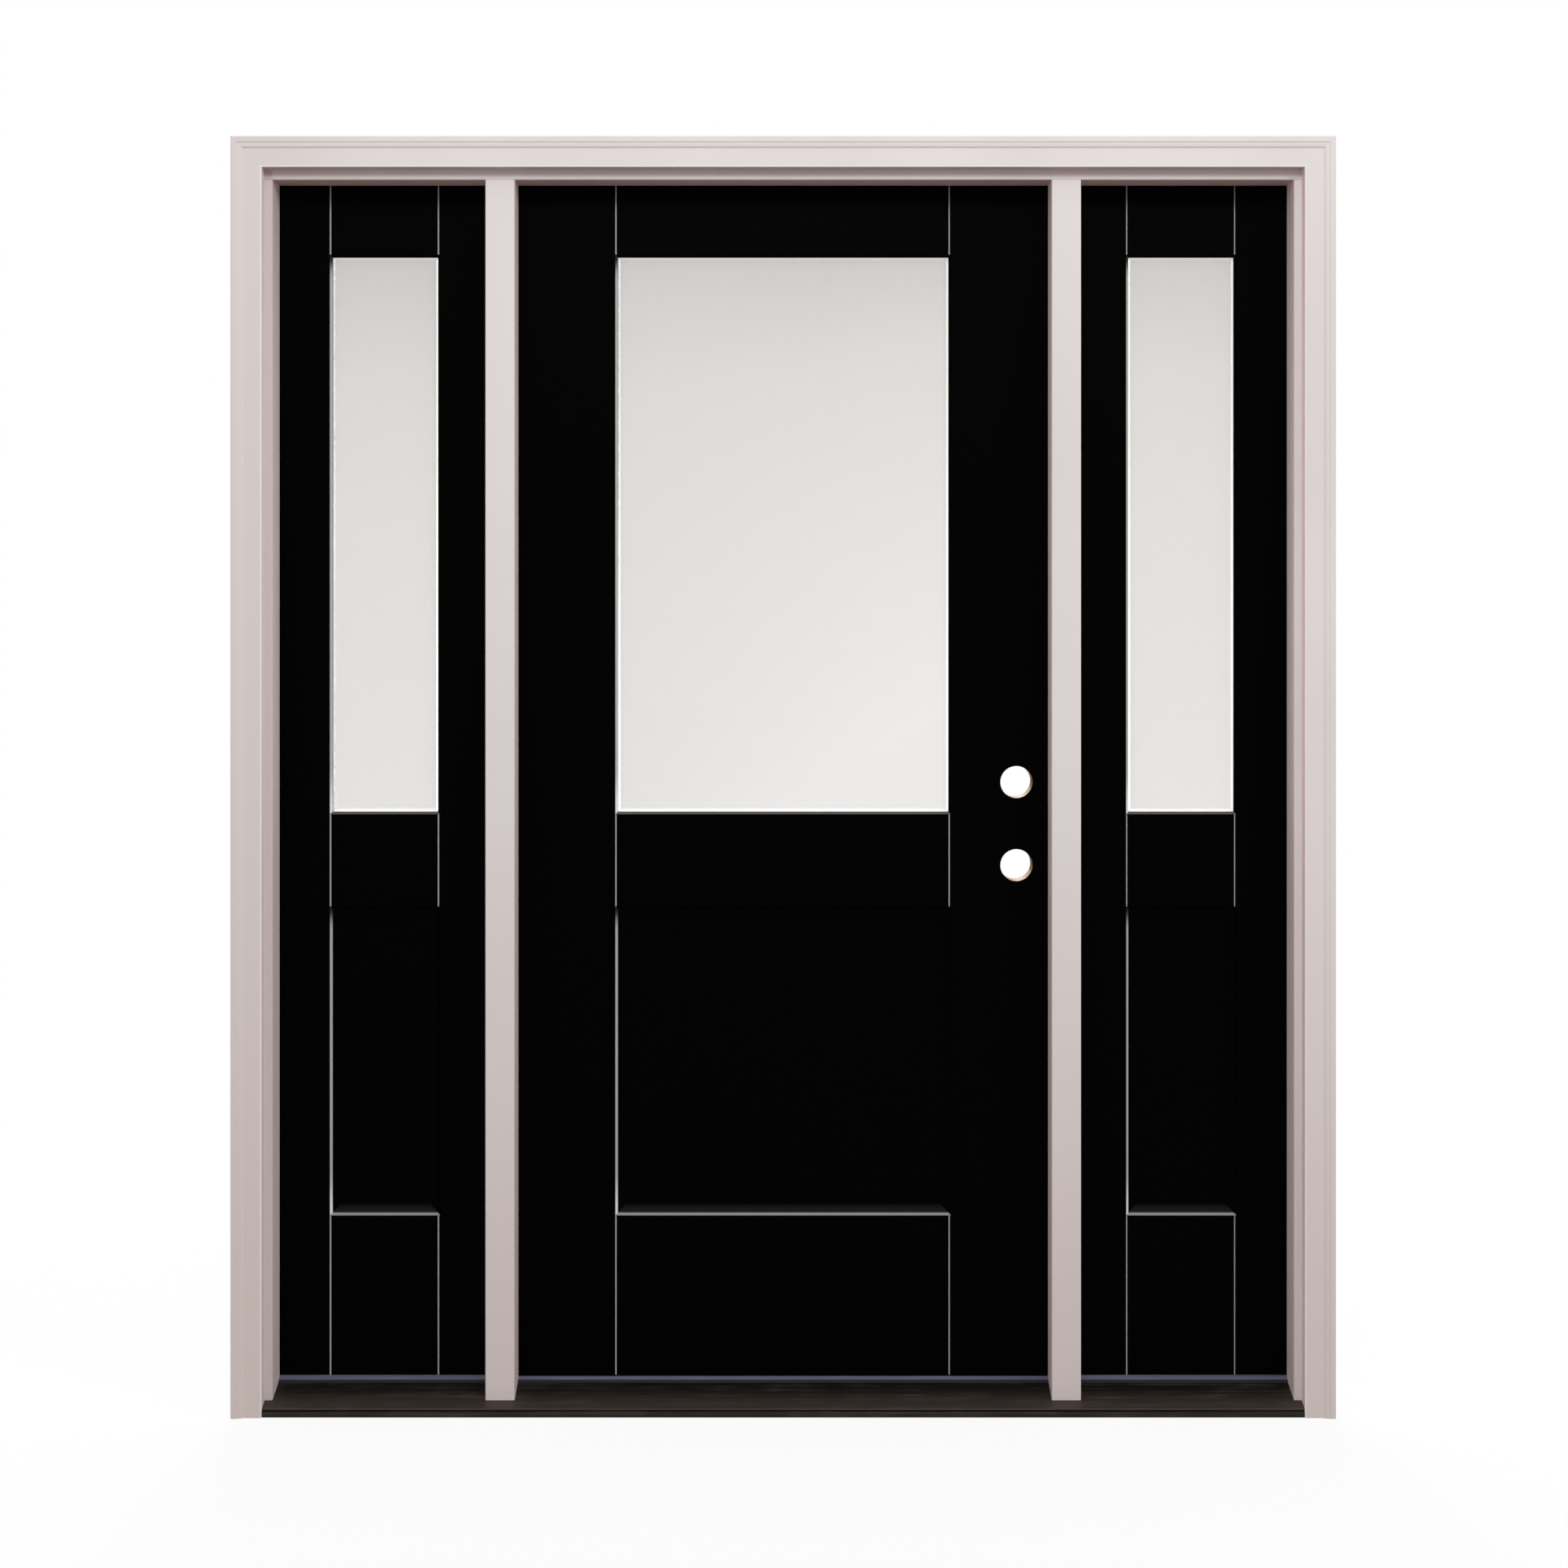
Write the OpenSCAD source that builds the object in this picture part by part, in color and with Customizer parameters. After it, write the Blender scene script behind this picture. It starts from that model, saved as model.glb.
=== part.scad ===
// Entry door with two sidelights: an inswing leaf hung in a rabbeted frame on a sloped sill.
// X runs to the right seen from outside, Y into the building, Z up, in millimetres.
// The origin is on the underside of the sill, midway between the side jambs, in the plane
// of the frame's outer edge that the brickmould is nailed to.

/* [Door leaf] */
// Width of the door leaf on its wider, inner face
leaf_w = 905; // [800:1:1000]
// Height of the door leaf and of both sidelight panels
leaf_h = 2006.6; // [1900:0.1:2200]
// Thickness of the door leaf and of both sidelight panels
slab_t = 44.5; // [42:0.5:50]
// Width of the glazed opening and of the moulded panel in the door leaf
door_lite_w = 564.5; // [400:0.5:600]
// How much the lock edge leans back towards the outer face
lock_bevel = 1.6; // [1:0.1:2.5]

/* [Sidelights] */
// Width of one sidelight panel
side_w = 372; // [320:1:450]
// Width of the glazed opening and of the moulded panel in a sidelight
side_lite_w = 185.5; // [120:0.5:220]

/* [Panel layout] */
// Height of the flat rail below the moulded panel
bottom_rail_h = 268; // [200:1:320]
// Height of the moulded panel
panel_h = 519; // [400:1:560]
// Height of the glazed opening
lite_h = 941; // [700:1:1000]
// Height of the flat rail above the glass
head_rail_h = 123; // [100:0.1:200]

/* [Moulded skins] */
// Thickness of the moulded skins
skin_t = 3; // [2.5:0.1:4]
// Width of the grooves that mark where rails meet stiles
groove_w = 4; // [3:0.1:6]
// Depth of those grooves
groove_d = 1.8; // [1:0.1:2.2]
// Width and depth of the steep edge round the glass and the panel
bevel = 4; // [3:0.1:6]
// Width of the gentle slope inside the panel's steep edge
slope_w = 14; // [8:0.5:25]
// Depth of the panel's flat field below the face
panel_d = 8; // [6.5:0.1:10]

/* [Glazing] */
// Thickness of one pane
pane_t = 3; // [3:0.1:6]
// Space between the two panes
air_gap = 19; // [12:0.5:22]
// Thickness of the skin's return that the panes bear on
lip_t = 3; // [2:0.1:6]
// Room left round the panes inside the leaf
pane_clearance = 1.5; // [0.5:0.1:2.5]
// Width of spacer that shows inside the return
spacer_sight = 4.5; // [2:0.1:8]

/* [Leaf structure] */
// Width of the stile that carries the hinges
hinge_stile_w = 40; // [30:1:60]
// Width of the stile that is bored for the locks
lock_stile_w = 100; // [95:1:120]
// Height of the timber rail inside the top edge
top_rail_h = 40; // [25:1:60]
// Height of the composite rail inside the bottom edge
foot_rail_h = 50; // [30:1:90]

/* [Lock bores] */
// Diameter of the two holes through the leaf
bore_d = 54; // [50:0.5:56]
// Distance of those holes from the lock edge
backset = 60.3; // [58:0.1:63]
// Height of the lower hole above the bottom of the leaf
latch_h = 857; // [830:1:890]
// Distance between the two holes
bore_spacing = 139.7; // [130:0.1:160]
// Diameter of the holes drilled in from the lock edge
edge_bore_d = 25.4; // [22:0.1:28]
// Height of the shallow recess for a latch plate
latch_plate_h = 57; // [50:1:64]
// Depth of that recess
latch_plate_d = 3.5; // [2:0.1:5]
// Depth of the pockets for the bolts in the strike post
strike_depth = 15; // [10:0.5:20]

/* [Frame] */
// Depth of the jambs, head and posts
jamb_depth = 116; // [112:0.5:130]
// Thickness of the side jambs and head behind the stop
jamb_t = 19.3; // [16:0.1:32]
// How far the stop stands out from the rabbet
stop_h = 12.7; // [11:0.1:16]
// Room for a seal between the stop and a panel
seal_gap = 6; // [5:0.1:9]
// Width of a post's outer face
post_w = 48.5; // [46:0.5:76]
// Gap round the door leaf
leaf_gap = 5; // [5:0.1:7]
// Gap between a sidelight panel and its rabbet
fixed_gap = 3; // [2:0.1:5]
// Radius taken off the frame's edges, as a flat
eased = 1.2; // [0.5:0.1:2]

/* [Brickmould] */
// Width of the brickmould's face
mould_w = 50.8; // [45:0.1:64]
// Thickness at its outer edge
mould_t = 32; // [28:0.5:38]
// Thickness of its flat inner part
mould_flat_t = 27.5; // [18:0.5:29]
// Width of its outer band
mould_band = 10; // [8:0.5:16]
// Width of the rounded slope between the band and the flat part
mould_slope = 9; // [7:0.5:13]
// Width of each of the two flat strips left on its relieved back
mould_land = 12; // [8:0.5:15]
// Strip of jamb edge left showing beside the brickmould
side_reveal = 12.7; // [10:0.1:16]
// Strip of head edge left showing below the brickmould
head_reveal = 16.5; // [12:0.1:20]

/* [Sill] */
// How far the sill stands out in front of the frame
sill_nose = 27; // [15:0.5:30]
// Height of the sill's front edge
nose_h = 15.2; // [13:0.1:20]
// How far back the deck's slope changes, from the frame's outer edge
break_y = 31; // [20:0.5:40]
// Height of the deck there
break_h = 29.2; // [26:0.1:31]
// How far back the deck ends, under the threshold cap
deck_y = 64; // [60:0.5:66]
// Height of the deck at its rear edge
deck_h = 38.9; // [36:0.1:39.5]
// Thickness of the metal deck
deck_t = 2; // [1.5:0.1:2.5]
// Height of the flat seat behind the deck
seat_h = 32; // [28:0.5:34]
// Height of the bottom of the panels and of the leaf
leaf_bottom = 44; // [43:0.1:47]
// How far the cap's front toe reaches out over the deck
cap_toe = 10; // [6:0.5:16]

/* [Hinges] */
// Height of a hinge
hinge_h = 101.6; // [80:0.1:114]
// Depth of a hinge plate in the edge of the leaf
hinge_plate_w = 38; // [32:0.5:40]
// Thickness of a hinge plate
hinge_t = 2.5; // [2:0.1:3]
// Radius of the plate's corners
hinge_corner = 16; // [3:0.5:17]
// Outer radius of a knuckle
knuckle_r = 7; // [6:0.1:7.2]
// Radius of a hinge pin
pin_r = 3.75; // [3:0.05:4]
// How far the pin's centre stands out from the inner face
pin_offset = 7.5; // [7.4:0.1:9]
// Distance from the top of the leaf to the top hinge
top_hinge_drop = 178; // [120:1:260]
// Distance from the bottom of the leaf to the bottom hinge
bottom_hinge_rise = 280; // [150:1:320]

/* [Hidden] */

// Finishes
PRIMED = [0.86, 0.83, 0.82];
BLACK = [0.05, 0.05, 0.05];
TIMBER = [0.72, 0.56, 0.38];
FOAM = [0.93, 0.88, 0.70];
SATIN = [0.89, 0.89, 0.87];
CLEAR = [0.80, 0.90, 0.92];
SPACER_WHITE = [0.96, 0.96, 0.95];
BRONZE = [0.16, 0.14, 0.13];
CAP_GREY = [0.31, 0.33, 0.39];
COMPOSITE = [0.45, 0.40, 0.36];
RUBBER = [0.12, 0.11, 0.11];
NICKEL = [0.72, 0.70, 0.67];

// Cutting tools reach this far past the faces they cut
cut = 1;
// Smoothness of round work, and of the rounded corners in a section
fine = 64;
arc_steps = 5;

// Plan positions, from the middle outwards
door_rabbet_x = leaf_w / 2 + leaf_gap;
door_stop_x = door_rabbet_x - stop_h;
post_outer_x = door_stop_x + post_w;
side_rabbet_x = post_outer_x - stop_h;
side_x = side_rabbet_x + fixed_gap + side_w / 2;
jamb_rabbet_x = side_x + side_w / 2 + fixed_gap;
jamb_stop_x = jamb_rabbet_x - stop_h;
frame_x = jamb_rabbet_x + jamb_t;
mould_x = jamb_stop_x + side_reveal;

// Depths, from the outside inwards
slab_y = jamb_depth - slab_t;
stop_y = slab_y - seal_gap;

// Heights
slab_top = leaf_bottom + leaf_h;
head_rabbet_z = slab_top + leaf_gap;
head_stop_z = head_rabbet_z - stop_h;
frame_top = head_rabbet_z + jamb_t;
mould_z = head_stop_z + head_reveal;
panel_z = bottom_rail_h;
lite_z = leaf_h - head_rail_h - lite_h;

// Glazing
setback = (slab_t - air_gap) / 2 - pane_t;
PANEL_EDGE = [[0, 0], [bevel, bevel], [bevel + slope_w, panel_d]];
SKIN_EDGE = [for (p = PANEL_EDGE) [p[0], p[1] + skin_t]];

// Sill
cap_front_y = deck_y - cap_toe;
cap_crown_y = slab_y - leaf_gap;
cap_crown_drop = 0.6;
cap_crown_h = leaf_bottom - cap_crown_drop;
cap_crown_w = 2;
cap_toe_t = 1;
door_cap_h = leaf_bottom - leaf_gap;
cap_drop = 2;
cap_round = 3;

// Seals
seal_clearance = 0.5;
strip_w = 12;
strip_d = seal_gap - seal_clearance;
strip_round = 2.5;
kerf_w = 3;
kerf_d = 9;
kerf_inset = 0.8;
tongue_clearance = 0.3;
side_seal_w = 10;
side_seal_inset = 0.5;
fin_t = 1.4;
fin_count = 4;
sweep_base_t = 2;
sweep_margin = 2;
sweep_clearance = 0.3;

// Hinges
pin_x = -(leaf_w / 2 + leaf_gap / 2);
pin_y = jamb_depth + pin_offset;
knuckles = 5;
knuckle_gap = 0.3;
knuckle_clearance = 0.4;
pin_clearance = 0.05;
pin_head_r = 5.5;
pin_head_h = 3;
pin_tip_h = 4;
mortise_clearance = 0.2;
hinge_low = leaf_bottom + bottom_hinge_rise;
hinge_high = slab_top - top_hinge_drop - hinge_h;
HINGE_Z = [hinge_low, (hinge_low + hinge_high) / 2, hinge_high];

// Lock bores
bore_x = leaf_w / 2 - backset;
BORE_Z = [leaf_bottom + latch_h, leaf_bottom + latch_h + bore_spacing];
strike_w = 28;
strike_plate_d = 1.5;

// Height of the deck's top at a given depth behind its break
function deck_z(y) = break_h + (y - break_y) * (deck_h - break_h) / (deck_y - break_y);

// Points of an arc round a centre, with a radius each way, from one angle to another
function arc(centre, radii, a0, a1) =
    [for (i = [0:arc_steps]) let (a = a0 + (a1 - a0) * i / arc_steps)
        [centre[0] + radii[0] * cos(a), centre[1] + radii[1] * sin(a)]];

// Points of a round corner with equal radii
function corner(centre, r, a0, a1) = arc(centre, [r, r], a0, a1);

// Sill profile as [y, z] points, from the front of the nose to the rear edge of the deck.
// A drip groove runs along the nose, just under its top edge
nose_chamfer = 1.2;
nose_foot = 2.4;
drip_z = nose_h - 3.4;
drip_mouth = 1.7;
drip_floor = 0.8;
drip_d = 2.6;
nose_wall = 4.6;
NOSE = [[-sill_nose + nose_foot, 0], [-sill_nose, nose_foot],
        [-sill_nose, drip_z - drip_mouth], [-sill_nose + drip_d, drip_z - drip_floor],
        [-sill_nose + drip_d, drip_z + drip_floor], [-sill_nose, drip_z + drip_mouth],
        [-sill_nose, nose_h - nose_chamfer], [-sill_nose + nose_chamfer, nose_h]];
DECK = [[break_y, break_h], [deck_y, deck_h]];
front_slope = (break_h - nose_h) / (break_y + sill_nose - nose_chamfer);
under_nose_h = nose_h - deck_t + front_slope * (nose_wall - nose_chamfer);
UNDER_DECK = [[deck_y, deck_h - deck_t], [break_y, break_h - deck_t],
              [-sill_nose + nose_wall, under_nose_h], [-sill_nose + nose_wall, 0]];

// Brickmould section as [u, v]: u outwards from its inner edge, v forwards from the frame
inner_round = 2.5;
outer_round = 2;
back_relief = 1.5;
quirk = 1.2;
slope_top = mould_t - quirk;
band_u = mould_w - mould_band;
MOULD = concat(
    [[0, 0]],
    corner([inner_round, mould_flat_t - inner_round], inner_round, 180, 90),
    arc([band_u, mould_flat_t], [mould_slope, slope_top - mould_flat_t], 180, 90),
    [[band_u, mould_t - quirk / 2], [band_u + quirk, mould_t]],
    corner([mould_w - outer_round, mould_t - outer_round], outer_round, 90, 0),
    [[mould_w, 0], [mould_w - mould_land, 0], [mould_w - mould_land, back_relief],
     [mould_land, back_relief], [mould_land, 0]]);

// Weatherstrip section as [a, b]: a from the rabbet towards the opening, b from the stop
// towards the leaf. A tongue sits in the kerf and carries a pad rounded towards the leaf
tongue_in = kerf_inset + tongue_clearance;
tongue_out = kerf_inset + kerf_w - tongue_clearance;
STRIP = concat(
    [[tongue_in, 0], [tongue_in, tongue_clearance - kerf_d],
     [tongue_out, tongue_clearance - kerf_d], [tongue_out, 0], [strip_w, 0]],
    corner([strip_w - strip_round, strip_d - strip_round], strip_round, 0, 90),
    corner([tongue_clearance + strip_round, strip_d - strip_round], strip_round, 90, 180),
    [[tongue_clearance, 0]]);

// Extrudes an outline drawn in [y, z] along X, from x0 to x1
module along_x(x0, x1, points) {
    translate([x0, 0, 0]) rotate([0, 90, 0]) linear_extrude(x1 - x0)
        polygon([for (p = points) [-p[1], p[0]]]);
}

// A box given by its two corners
module box(low, high) {
    translate(low) cube(high - low);
}

// Both sides of a symmetric unit
module mirrored(right) {
    if (right) children();
    else mirror([1, 0, 0]) children();
}

// A mitred sinking of width w and height h in the face y = 0; steps are [inset, depth]
module sinking(w, h, steps) {
    last = len(steps) - 1;
    near = [for (i = [0:last]) [-w / 2 + steps[i][0], steps[i][1]]];
    far = [for (i = [last:-1:0]) [w / 2 - steps[i][0], steps[i][1]]];
    low = [for (i = [0:last]) [steps[i][1], steps[i][0]]];
    high = [for (i = [last:-1:0]) [steps[i][1], h - steps[i][0]]];
    intersection() {
        linear_extrude(h)
            polygon(concat([[-w / 2, -cut]], near, far, [[w / 2, -cut]]));
        along_x(-w / 2, w / 2, concat([[-cut, 0]], low, high, [[-cut, h]]));
    }
}

// The parts of a slab, each in the slab's own frame: x from its middle, y from its face

// One moulded skin, its face at y = 0
module skin(w, lite_w) {
    grooves = [[0, panel_z], [panel_z + panel_h, lite_z], [lite_z + lite_h, leaf_h]];
    difference() {
        union() {
            box([-w / 2, 0, 0], [w / 2, skin_t, leaf_h]);
            translate([0, 0, panel_z - skin_t]) skin_back(lite_w);
            box([-lite_w / 2 - lip_t, 0, lite_z - lip_t],
                [lite_w / 2 + lip_t, setback, lite_z + lite_h + lip_t]);
        }
        translate([0, 0, panel_z]) sinking(lite_w, panel_h, PANEL_EDGE);
        translate([0, 0, lite_z]) sinking(lite_w, lite_h, [[0, 0], [bevel, bevel],
            [bevel, setback + cut]]);
        for (g = grooves, side = [-1, 1])
            translate([side * (lite_w - groove_w) / 2, 0, g[0]]) linear_extrude(g[1] - g[0])
                polygon([[-groove_w / 2, -cut], [-groove_w / 2, 0], [0, groove_d],
                         [groove_w / 2, 0], [groove_w / 2, -cut]]);
    }
}

// The back of the moulded panel, which the core is shaped to
module skin_back(lite_w) {
    sinking(lite_w + 2 * skin_t, panel_h + 2 * skin_t, SKIN_EDGE);
}

// Everything that the two skins and the glazing take out of the slab's inside
module slab_hollows(lite_w) {
    for (inner = [false, true])
        translate([0, inner ? slab_t : 0, panel_z - skin_t])
            mirror([0, inner ? 1 : 0, 0]) skin_back(lite_w);
    box([-lite_w / 2 - lip_t, -cut, lite_z - lip_t],
        [lite_w / 2 + lip_t, slab_t + cut, lite_z + lite_h + lip_t]);
}

// One pane, its face at depth y
module pane(lite_w, y) {
    grow = lip_t - pane_clearance;
    box([-lite_w / 2 - grow, y, lite_z - grow],
        [lite_w / 2 + grow, y + pane_t, lite_z + lite_h + grow]);
}

// The hollow bar that holds the panes apart
module spacer(lite_w) {
    grow = lip_t - pane_clearance;
    shrink = bevel + spacer_sight;
    difference() {
        box([-lite_w / 2 - grow, setback + pane_t, lite_z - grow],
            [lite_w / 2 + grow, slab_t - setback - pane_t, lite_z + lite_h + grow]);
        box([-lite_w / 2 + shrink, 0, lite_z + shrink],
            [lite_w / 2 - shrink, slab_t, lite_z + lite_h - shrink]);
    }
}

// Places a slab's part in the frame
module at_slab(x) {
    translate([x, slab_y, leaf_bottom]) children();
}

// Turns a part round so that it belongs to the inner face
module inner_face() {
    translate([0, slab_t, 0]) mirror([0, 1, 0]) children();
}

// Sidelights, right (side = 1) or left (side = -1)

module sidelight_exterior_skin(side) {
    color(BLACK) at_slab(side * side_x) skin(side_w, side_lite_w);
}

module sidelight_interior_skin(side) {
    color(BLACK) at_slab(side * side_x) inner_face() skin(side_w, side_lite_w);
}

module sidelight_core(side) {
    color(FOAM) at_slab(side * side_x) difference() {
        box([-side_w / 2, skin_t, 0], [side_w / 2, slab_t - skin_t, leaf_h]);
        slab_hollows(side_lite_w);
    }
}

module sidelight_outer_glass(side) {
    color(SATIN) at_slab(side * side_x) pane(side_lite_w, setback);
}

module sidelight_inner_glass(side) {
    color(CLEAR) at_slab(side * side_x) pane(side_lite_w, slab_t - setback - pane_t);
}

module sidelight_spacer(side) {
    color(SPACER_WHITE) at_slab(side * side_x) spacer(side_lite_w);
}

// Foam strip that beds the sidelight panel against its stops
module sidelight_seal(side) {
    x0 = side_rabbet_x + side_seal_inset;
    x1 = jamb_rabbet_x - side_seal_inset;
    top = head_rabbet_z - side_seal_inset;
    color(RUBBER) mirrored(side > 0) difference() {
        box([x0, stop_y, leaf_bottom], [x1, slab_y, top]);
        box([x0 + side_seal_w, stop_y - cut, leaf_bottom - cut],
            [x1 - side_seal_w, slab_y + cut, top - side_seal_w]);
    }
}

// Door leaf

// Takes the lock edge of the leaf back towards its outer face
module lock_edge() {
    half = leaf_w / 2;
    translate([0, 0, -cut]) linear_extrude(leaf_h + 2 * cut)
        polygon([[half - lock_bevel, 0], [half - lock_bevel, -cut], [half + cut, -cut],
                 [half + cut, slab_t], [half, slab_t]]);
}

// The two holes through the leaf
module cross_bores() {
    for (z = BORE_Z)
        translate([bore_x, -cut, z - leaf_bottom]) rotate([-90, 0, 0])
            cylinder(h = slab_t + 2 * cut, d = bore_d, $fn = fine);
}

// The recesses for the hinge plates in the leaf's edge, in the frame's own position
module leaf_mortises() {
    for (z = HINGE_Z)
        translate([-leaf_w / 2 + hinge_t, 0, z]) mirror([1, 0, 0])
            plate_solid(hinge_t + cut, mortise_clearance, cut);
}

module door_exterior_skin() {
    color(BLACK) at_slab(0) difference() {
        skin(leaf_w, door_lite_w);
        lock_edge();
        cross_bores();
    }
}

module door_interior_skin() {
    color(BLACK) difference() {
        at_slab(0) difference() {
            inner_face() skin(leaf_w, door_lite_w);
            lock_edge();
            cross_bores();
        }
        leaf_mortises();
    }
}

module door_hinge_stile() {
    color(TIMBER) difference() {
        at_slab(0) box([-leaf_w / 2, skin_t, 0],
                       [-leaf_w / 2 + hinge_stile_w, slab_t - skin_t, leaf_h]);
        leaf_mortises();
    }
}

module door_lock_stile() {
    half = leaf_w / 2;
    mid = slab_t / 2;
    color(TIMBER) at_slab(0) difference() {
        box([half - lock_stile_w, skin_t, 0], [half, slab_t - skin_t, leaf_h]);
        lock_edge();
        cross_bores();
        for (z = BORE_Z) {
            translate([bore_x, mid, z - leaf_bottom]) rotate([0, 90, 0])
                cylinder(h = backset + cut, d = edge_bore_d, $fn = fine);
            box([half - lock_bevel / 2 - latch_plate_d, mid - edge_bore_d / 2,
                 z - leaf_bottom - latch_plate_h / 2],
                [half + cut, mid + edge_bore_d / 2, z - leaf_bottom + latch_plate_h / 2]);
        }
    }
}

module leaf_rail(z0, z1) {
    color(TIMBER) at_slab(0)
        box([-leaf_w / 2 + hinge_stile_w, skin_t, z0],
            [leaf_w / 2 - lock_stile_w, slab_t - skin_t, z1]);
}

module door_top_rail() {
    leaf_rail(leaf_h - top_rail_h, leaf_h);
}

module door_foot_rail() {
    leaf_rail(0, foot_rail_h);
}

module door_foam_core() {
    color(FOAM) at_slab(0) difference() {
        box([-leaf_w / 2 + hinge_stile_w, skin_t, foot_rail_h],
            [leaf_w / 2 - lock_stile_w, slab_t - skin_t, leaf_h - top_rail_h]);
        slab_hollows(door_lite_w);
    }
}

module door_outer_glass() {
    color(SATIN) at_slab(0) pane(door_lite_w, setback);
}

module door_inner_glass() {
    color(CLEAR) at_slab(0) pane(door_lite_w, slab_t - setback - pane_t);
}

module door_glass_spacer() {
    color(SPACER_WHITE) at_slab(0) spacer(door_lite_w);
}

// Finned strip under the leaf that closes the gap above the threshold cap
module door_sweep() {
    y0 = skin_t + sweep_margin;
    y1 = slab_t - skin_t - sweep_margin;
    pitch = (y1 - y0 - fin_t) / (fin_count - 1);
    drop = leaf_gap - sweep_clearance;
    half = leaf_w / 2 - sweep_margin;
    color(RUBBER) at_slab(0) {
        box([-half, y0, -sweep_base_t], [half - lock_bevel, y1, 0]);
        for (i = [0:fin_count - 1])
            box([-half, y0 + i * pitch, -drop],
                [half - lock_bevel, y0 + i * pitch + fin_t, -sweep_base_t]);
    }
}

// Hinges

// Outline of a hinge plate in [y, z], its far corners rounded
module plate_outline(grow) {
    y0 = jamb_depth - hinge_plate_w - grow;
    y1 = pin_y;
    r = hinge_corner + grow;
    height = hinge_h + 2 * grow;
    translate([y0, -grow]) {
        translate([r, 0]) square([y1 - y0 - r, height]);
        translate([0, r]) square([y1 - y0, height - 2 * r]);
        for (z = [r, height - r]) translate([r, z]) circle(r = r, $fn = fine);
    }
}

// The outline as a solid from x = 0 to x = thick, grown for a mortise and lengthened
module plate_solid(thick, grow, extra) {
    rotate([90, 0, 90]) linear_extrude(thick) {
        plate_outline(grow);
        if (extra > 0) translate([pin_y - extra, -grow])
            square([2 * extra, hinge_h + 2 * grow]);
    }
}

// The knuckles with the given numbers, counted from the bottom
module knuckle_barrels(numbers, r, gap) {
    pitch = hinge_h / knuckles;
    for (i = numbers) {
        low = i * pitch + (i == 0 ? 0 : gap / 2);
        high = (i + 1) * pitch - (i == knuckles - 1 ? 0 : gap / 2);
        translate([pin_x, pin_y, low]) cylinder(h = high - low, r = r, $fn = fine);
    }
}

// One half of each hinge: a plate and its own knuckles, drilled for the pin
module hinge_half(own, others, x0) {
    for (z = HINGE_Z) translate([0, 0, z]) difference() {
        union() {
            difference() {
                translate([x0, 0, 0]) plate_solid(hinge_t, 0, 0);
                knuckle_barrels(others, knuckle_r + knuckle_clearance, -knuckle_gap);
            }
            knuckle_barrels(own, knuckle_r, knuckle_gap);
        }
        translate([pin_x, pin_y, -cut])
            cylinder(h = hinge_h + 2 * cut, r = pin_r + pin_clearance, $fn = fine);
    }
}

module hinge_frame_leaves() {
    color(NICKEL) hinge_half([0, 2, 4], [1, 3], -door_rabbet_x - hinge_t);
}

module hinge_door_leaves() {
    color(NICKEL) hinge_half([1, 3], [0, 2, 4], -leaf_w / 2);
}

module hinge_pins() {
    color(NICKEL) for (z = HINGE_Z) translate([pin_x, pin_y, z]) {
        translate([0, 0, -pin_tip_h]) cylinder(h = hinge_h + pin_tip_h, r = pin_r, $fn = fine);
        translate([0, 0, hinge_h]) cylinder(h = pin_head_h, r = pin_head_r, $fn = fine);
    }
}

// Frame

// Everything below the feet of the jambs and posts
module sill_envelope() {
    along_x(-frame_x - cut, frame_x + cut,
            concat([[-sill_nose - cut, -cut]], NOSE, DECK,
                   [[deck_y, seat_h], [jamb_depth + cut, seat_h], [jamb_depth + cut, -cut]]));
}

// Side jamb: a board with the stop worked on it
module side_jamb(side) {
    color(PRIMED) mirrored(side > 0) difference() {
        union() {
            linear_extrude(frame_top)
                polygon([[jamb_rabbet_x, 0], [frame_x, 0], [frame_x, jamb_depth],
                         [jamb_rabbet_x + eased, jamb_depth],
                         [jamb_rabbet_x, jamb_depth - eased]]);
            linear_extrude(head_stop_z)
                polygon([[jamb_stop_x + eased, 0], [jamb_rabbet_x, 0],
                         [jamb_rabbet_x, stop_y], [jamb_stop_x, stop_y],
                         [jamb_stop_x, eased]]);
        }
        sill_envelope();
    }
}

module head_jamb() {
    kerf_z = head_rabbet_z - kerf_inset;
    color(PRIMED) difference() {
        along_x(-jamb_rabbet_x, jamb_rabbet_x,
                [[0, head_stop_z + eased], [eased, head_stop_z], [stop_y, head_stop_z],
                 [stop_y, head_rabbet_z], [jamb_depth - eased, head_rabbet_z],
                 [jamb_depth, head_rabbet_z + eased], [jamb_depth, frame_top],
                 [0, frame_top]]);
        box([-door_rabbet_x, stop_y - kerf_d, kerf_z - kerf_w],
            [door_rabbet_x, stop_y + cut, kerf_z]);
    }
}

// Post between the door and a sidelight, with a stop on each side
module post(side) {
    kerf_x = door_rabbet_x - kerf_inset;
    mirrored(side > 0) difference() {
        union() {
            linear_extrude(head_stop_z)
                polygon([[door_stop_x + eased, 0], [post_outer_x - eased, 0],
                         [post_outer_x, eased], [post_outer_x, stop_y],
                         [door_stop_x, stop_y], [door_stop_x, eased]]);
            linear_extrude(head_rabbet_z)
                polygon([[door_rabbet_x, stop_y], [side_rabbet_x, stop_y],
                         [side_rabbet_x, jamb_depth - eased],
                         [side_rabbet_x - eased, jamb_depth],
                         [door_rabbet_x + eased, jamb_depth],
                         [door_rabbet_x, jamb_depth - eased]]);
        }
        sill_envelope();
        box([kerf_x - kerf_w, stop_y - kerf_d, leaf_bottom],
            [kerf_x, stop_y + cut, head_stop_z + cut]);
    }
}

module hinge_post() {
    color(PRIMED) difference() {
        post(-1);
        for (z = HINGE_Z)
            translate([-door_rabbet_x - hinge_t, 0, z])
                plate_solid(hinge_t + cut, mortise_clearance, cut);
    }
}

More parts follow.
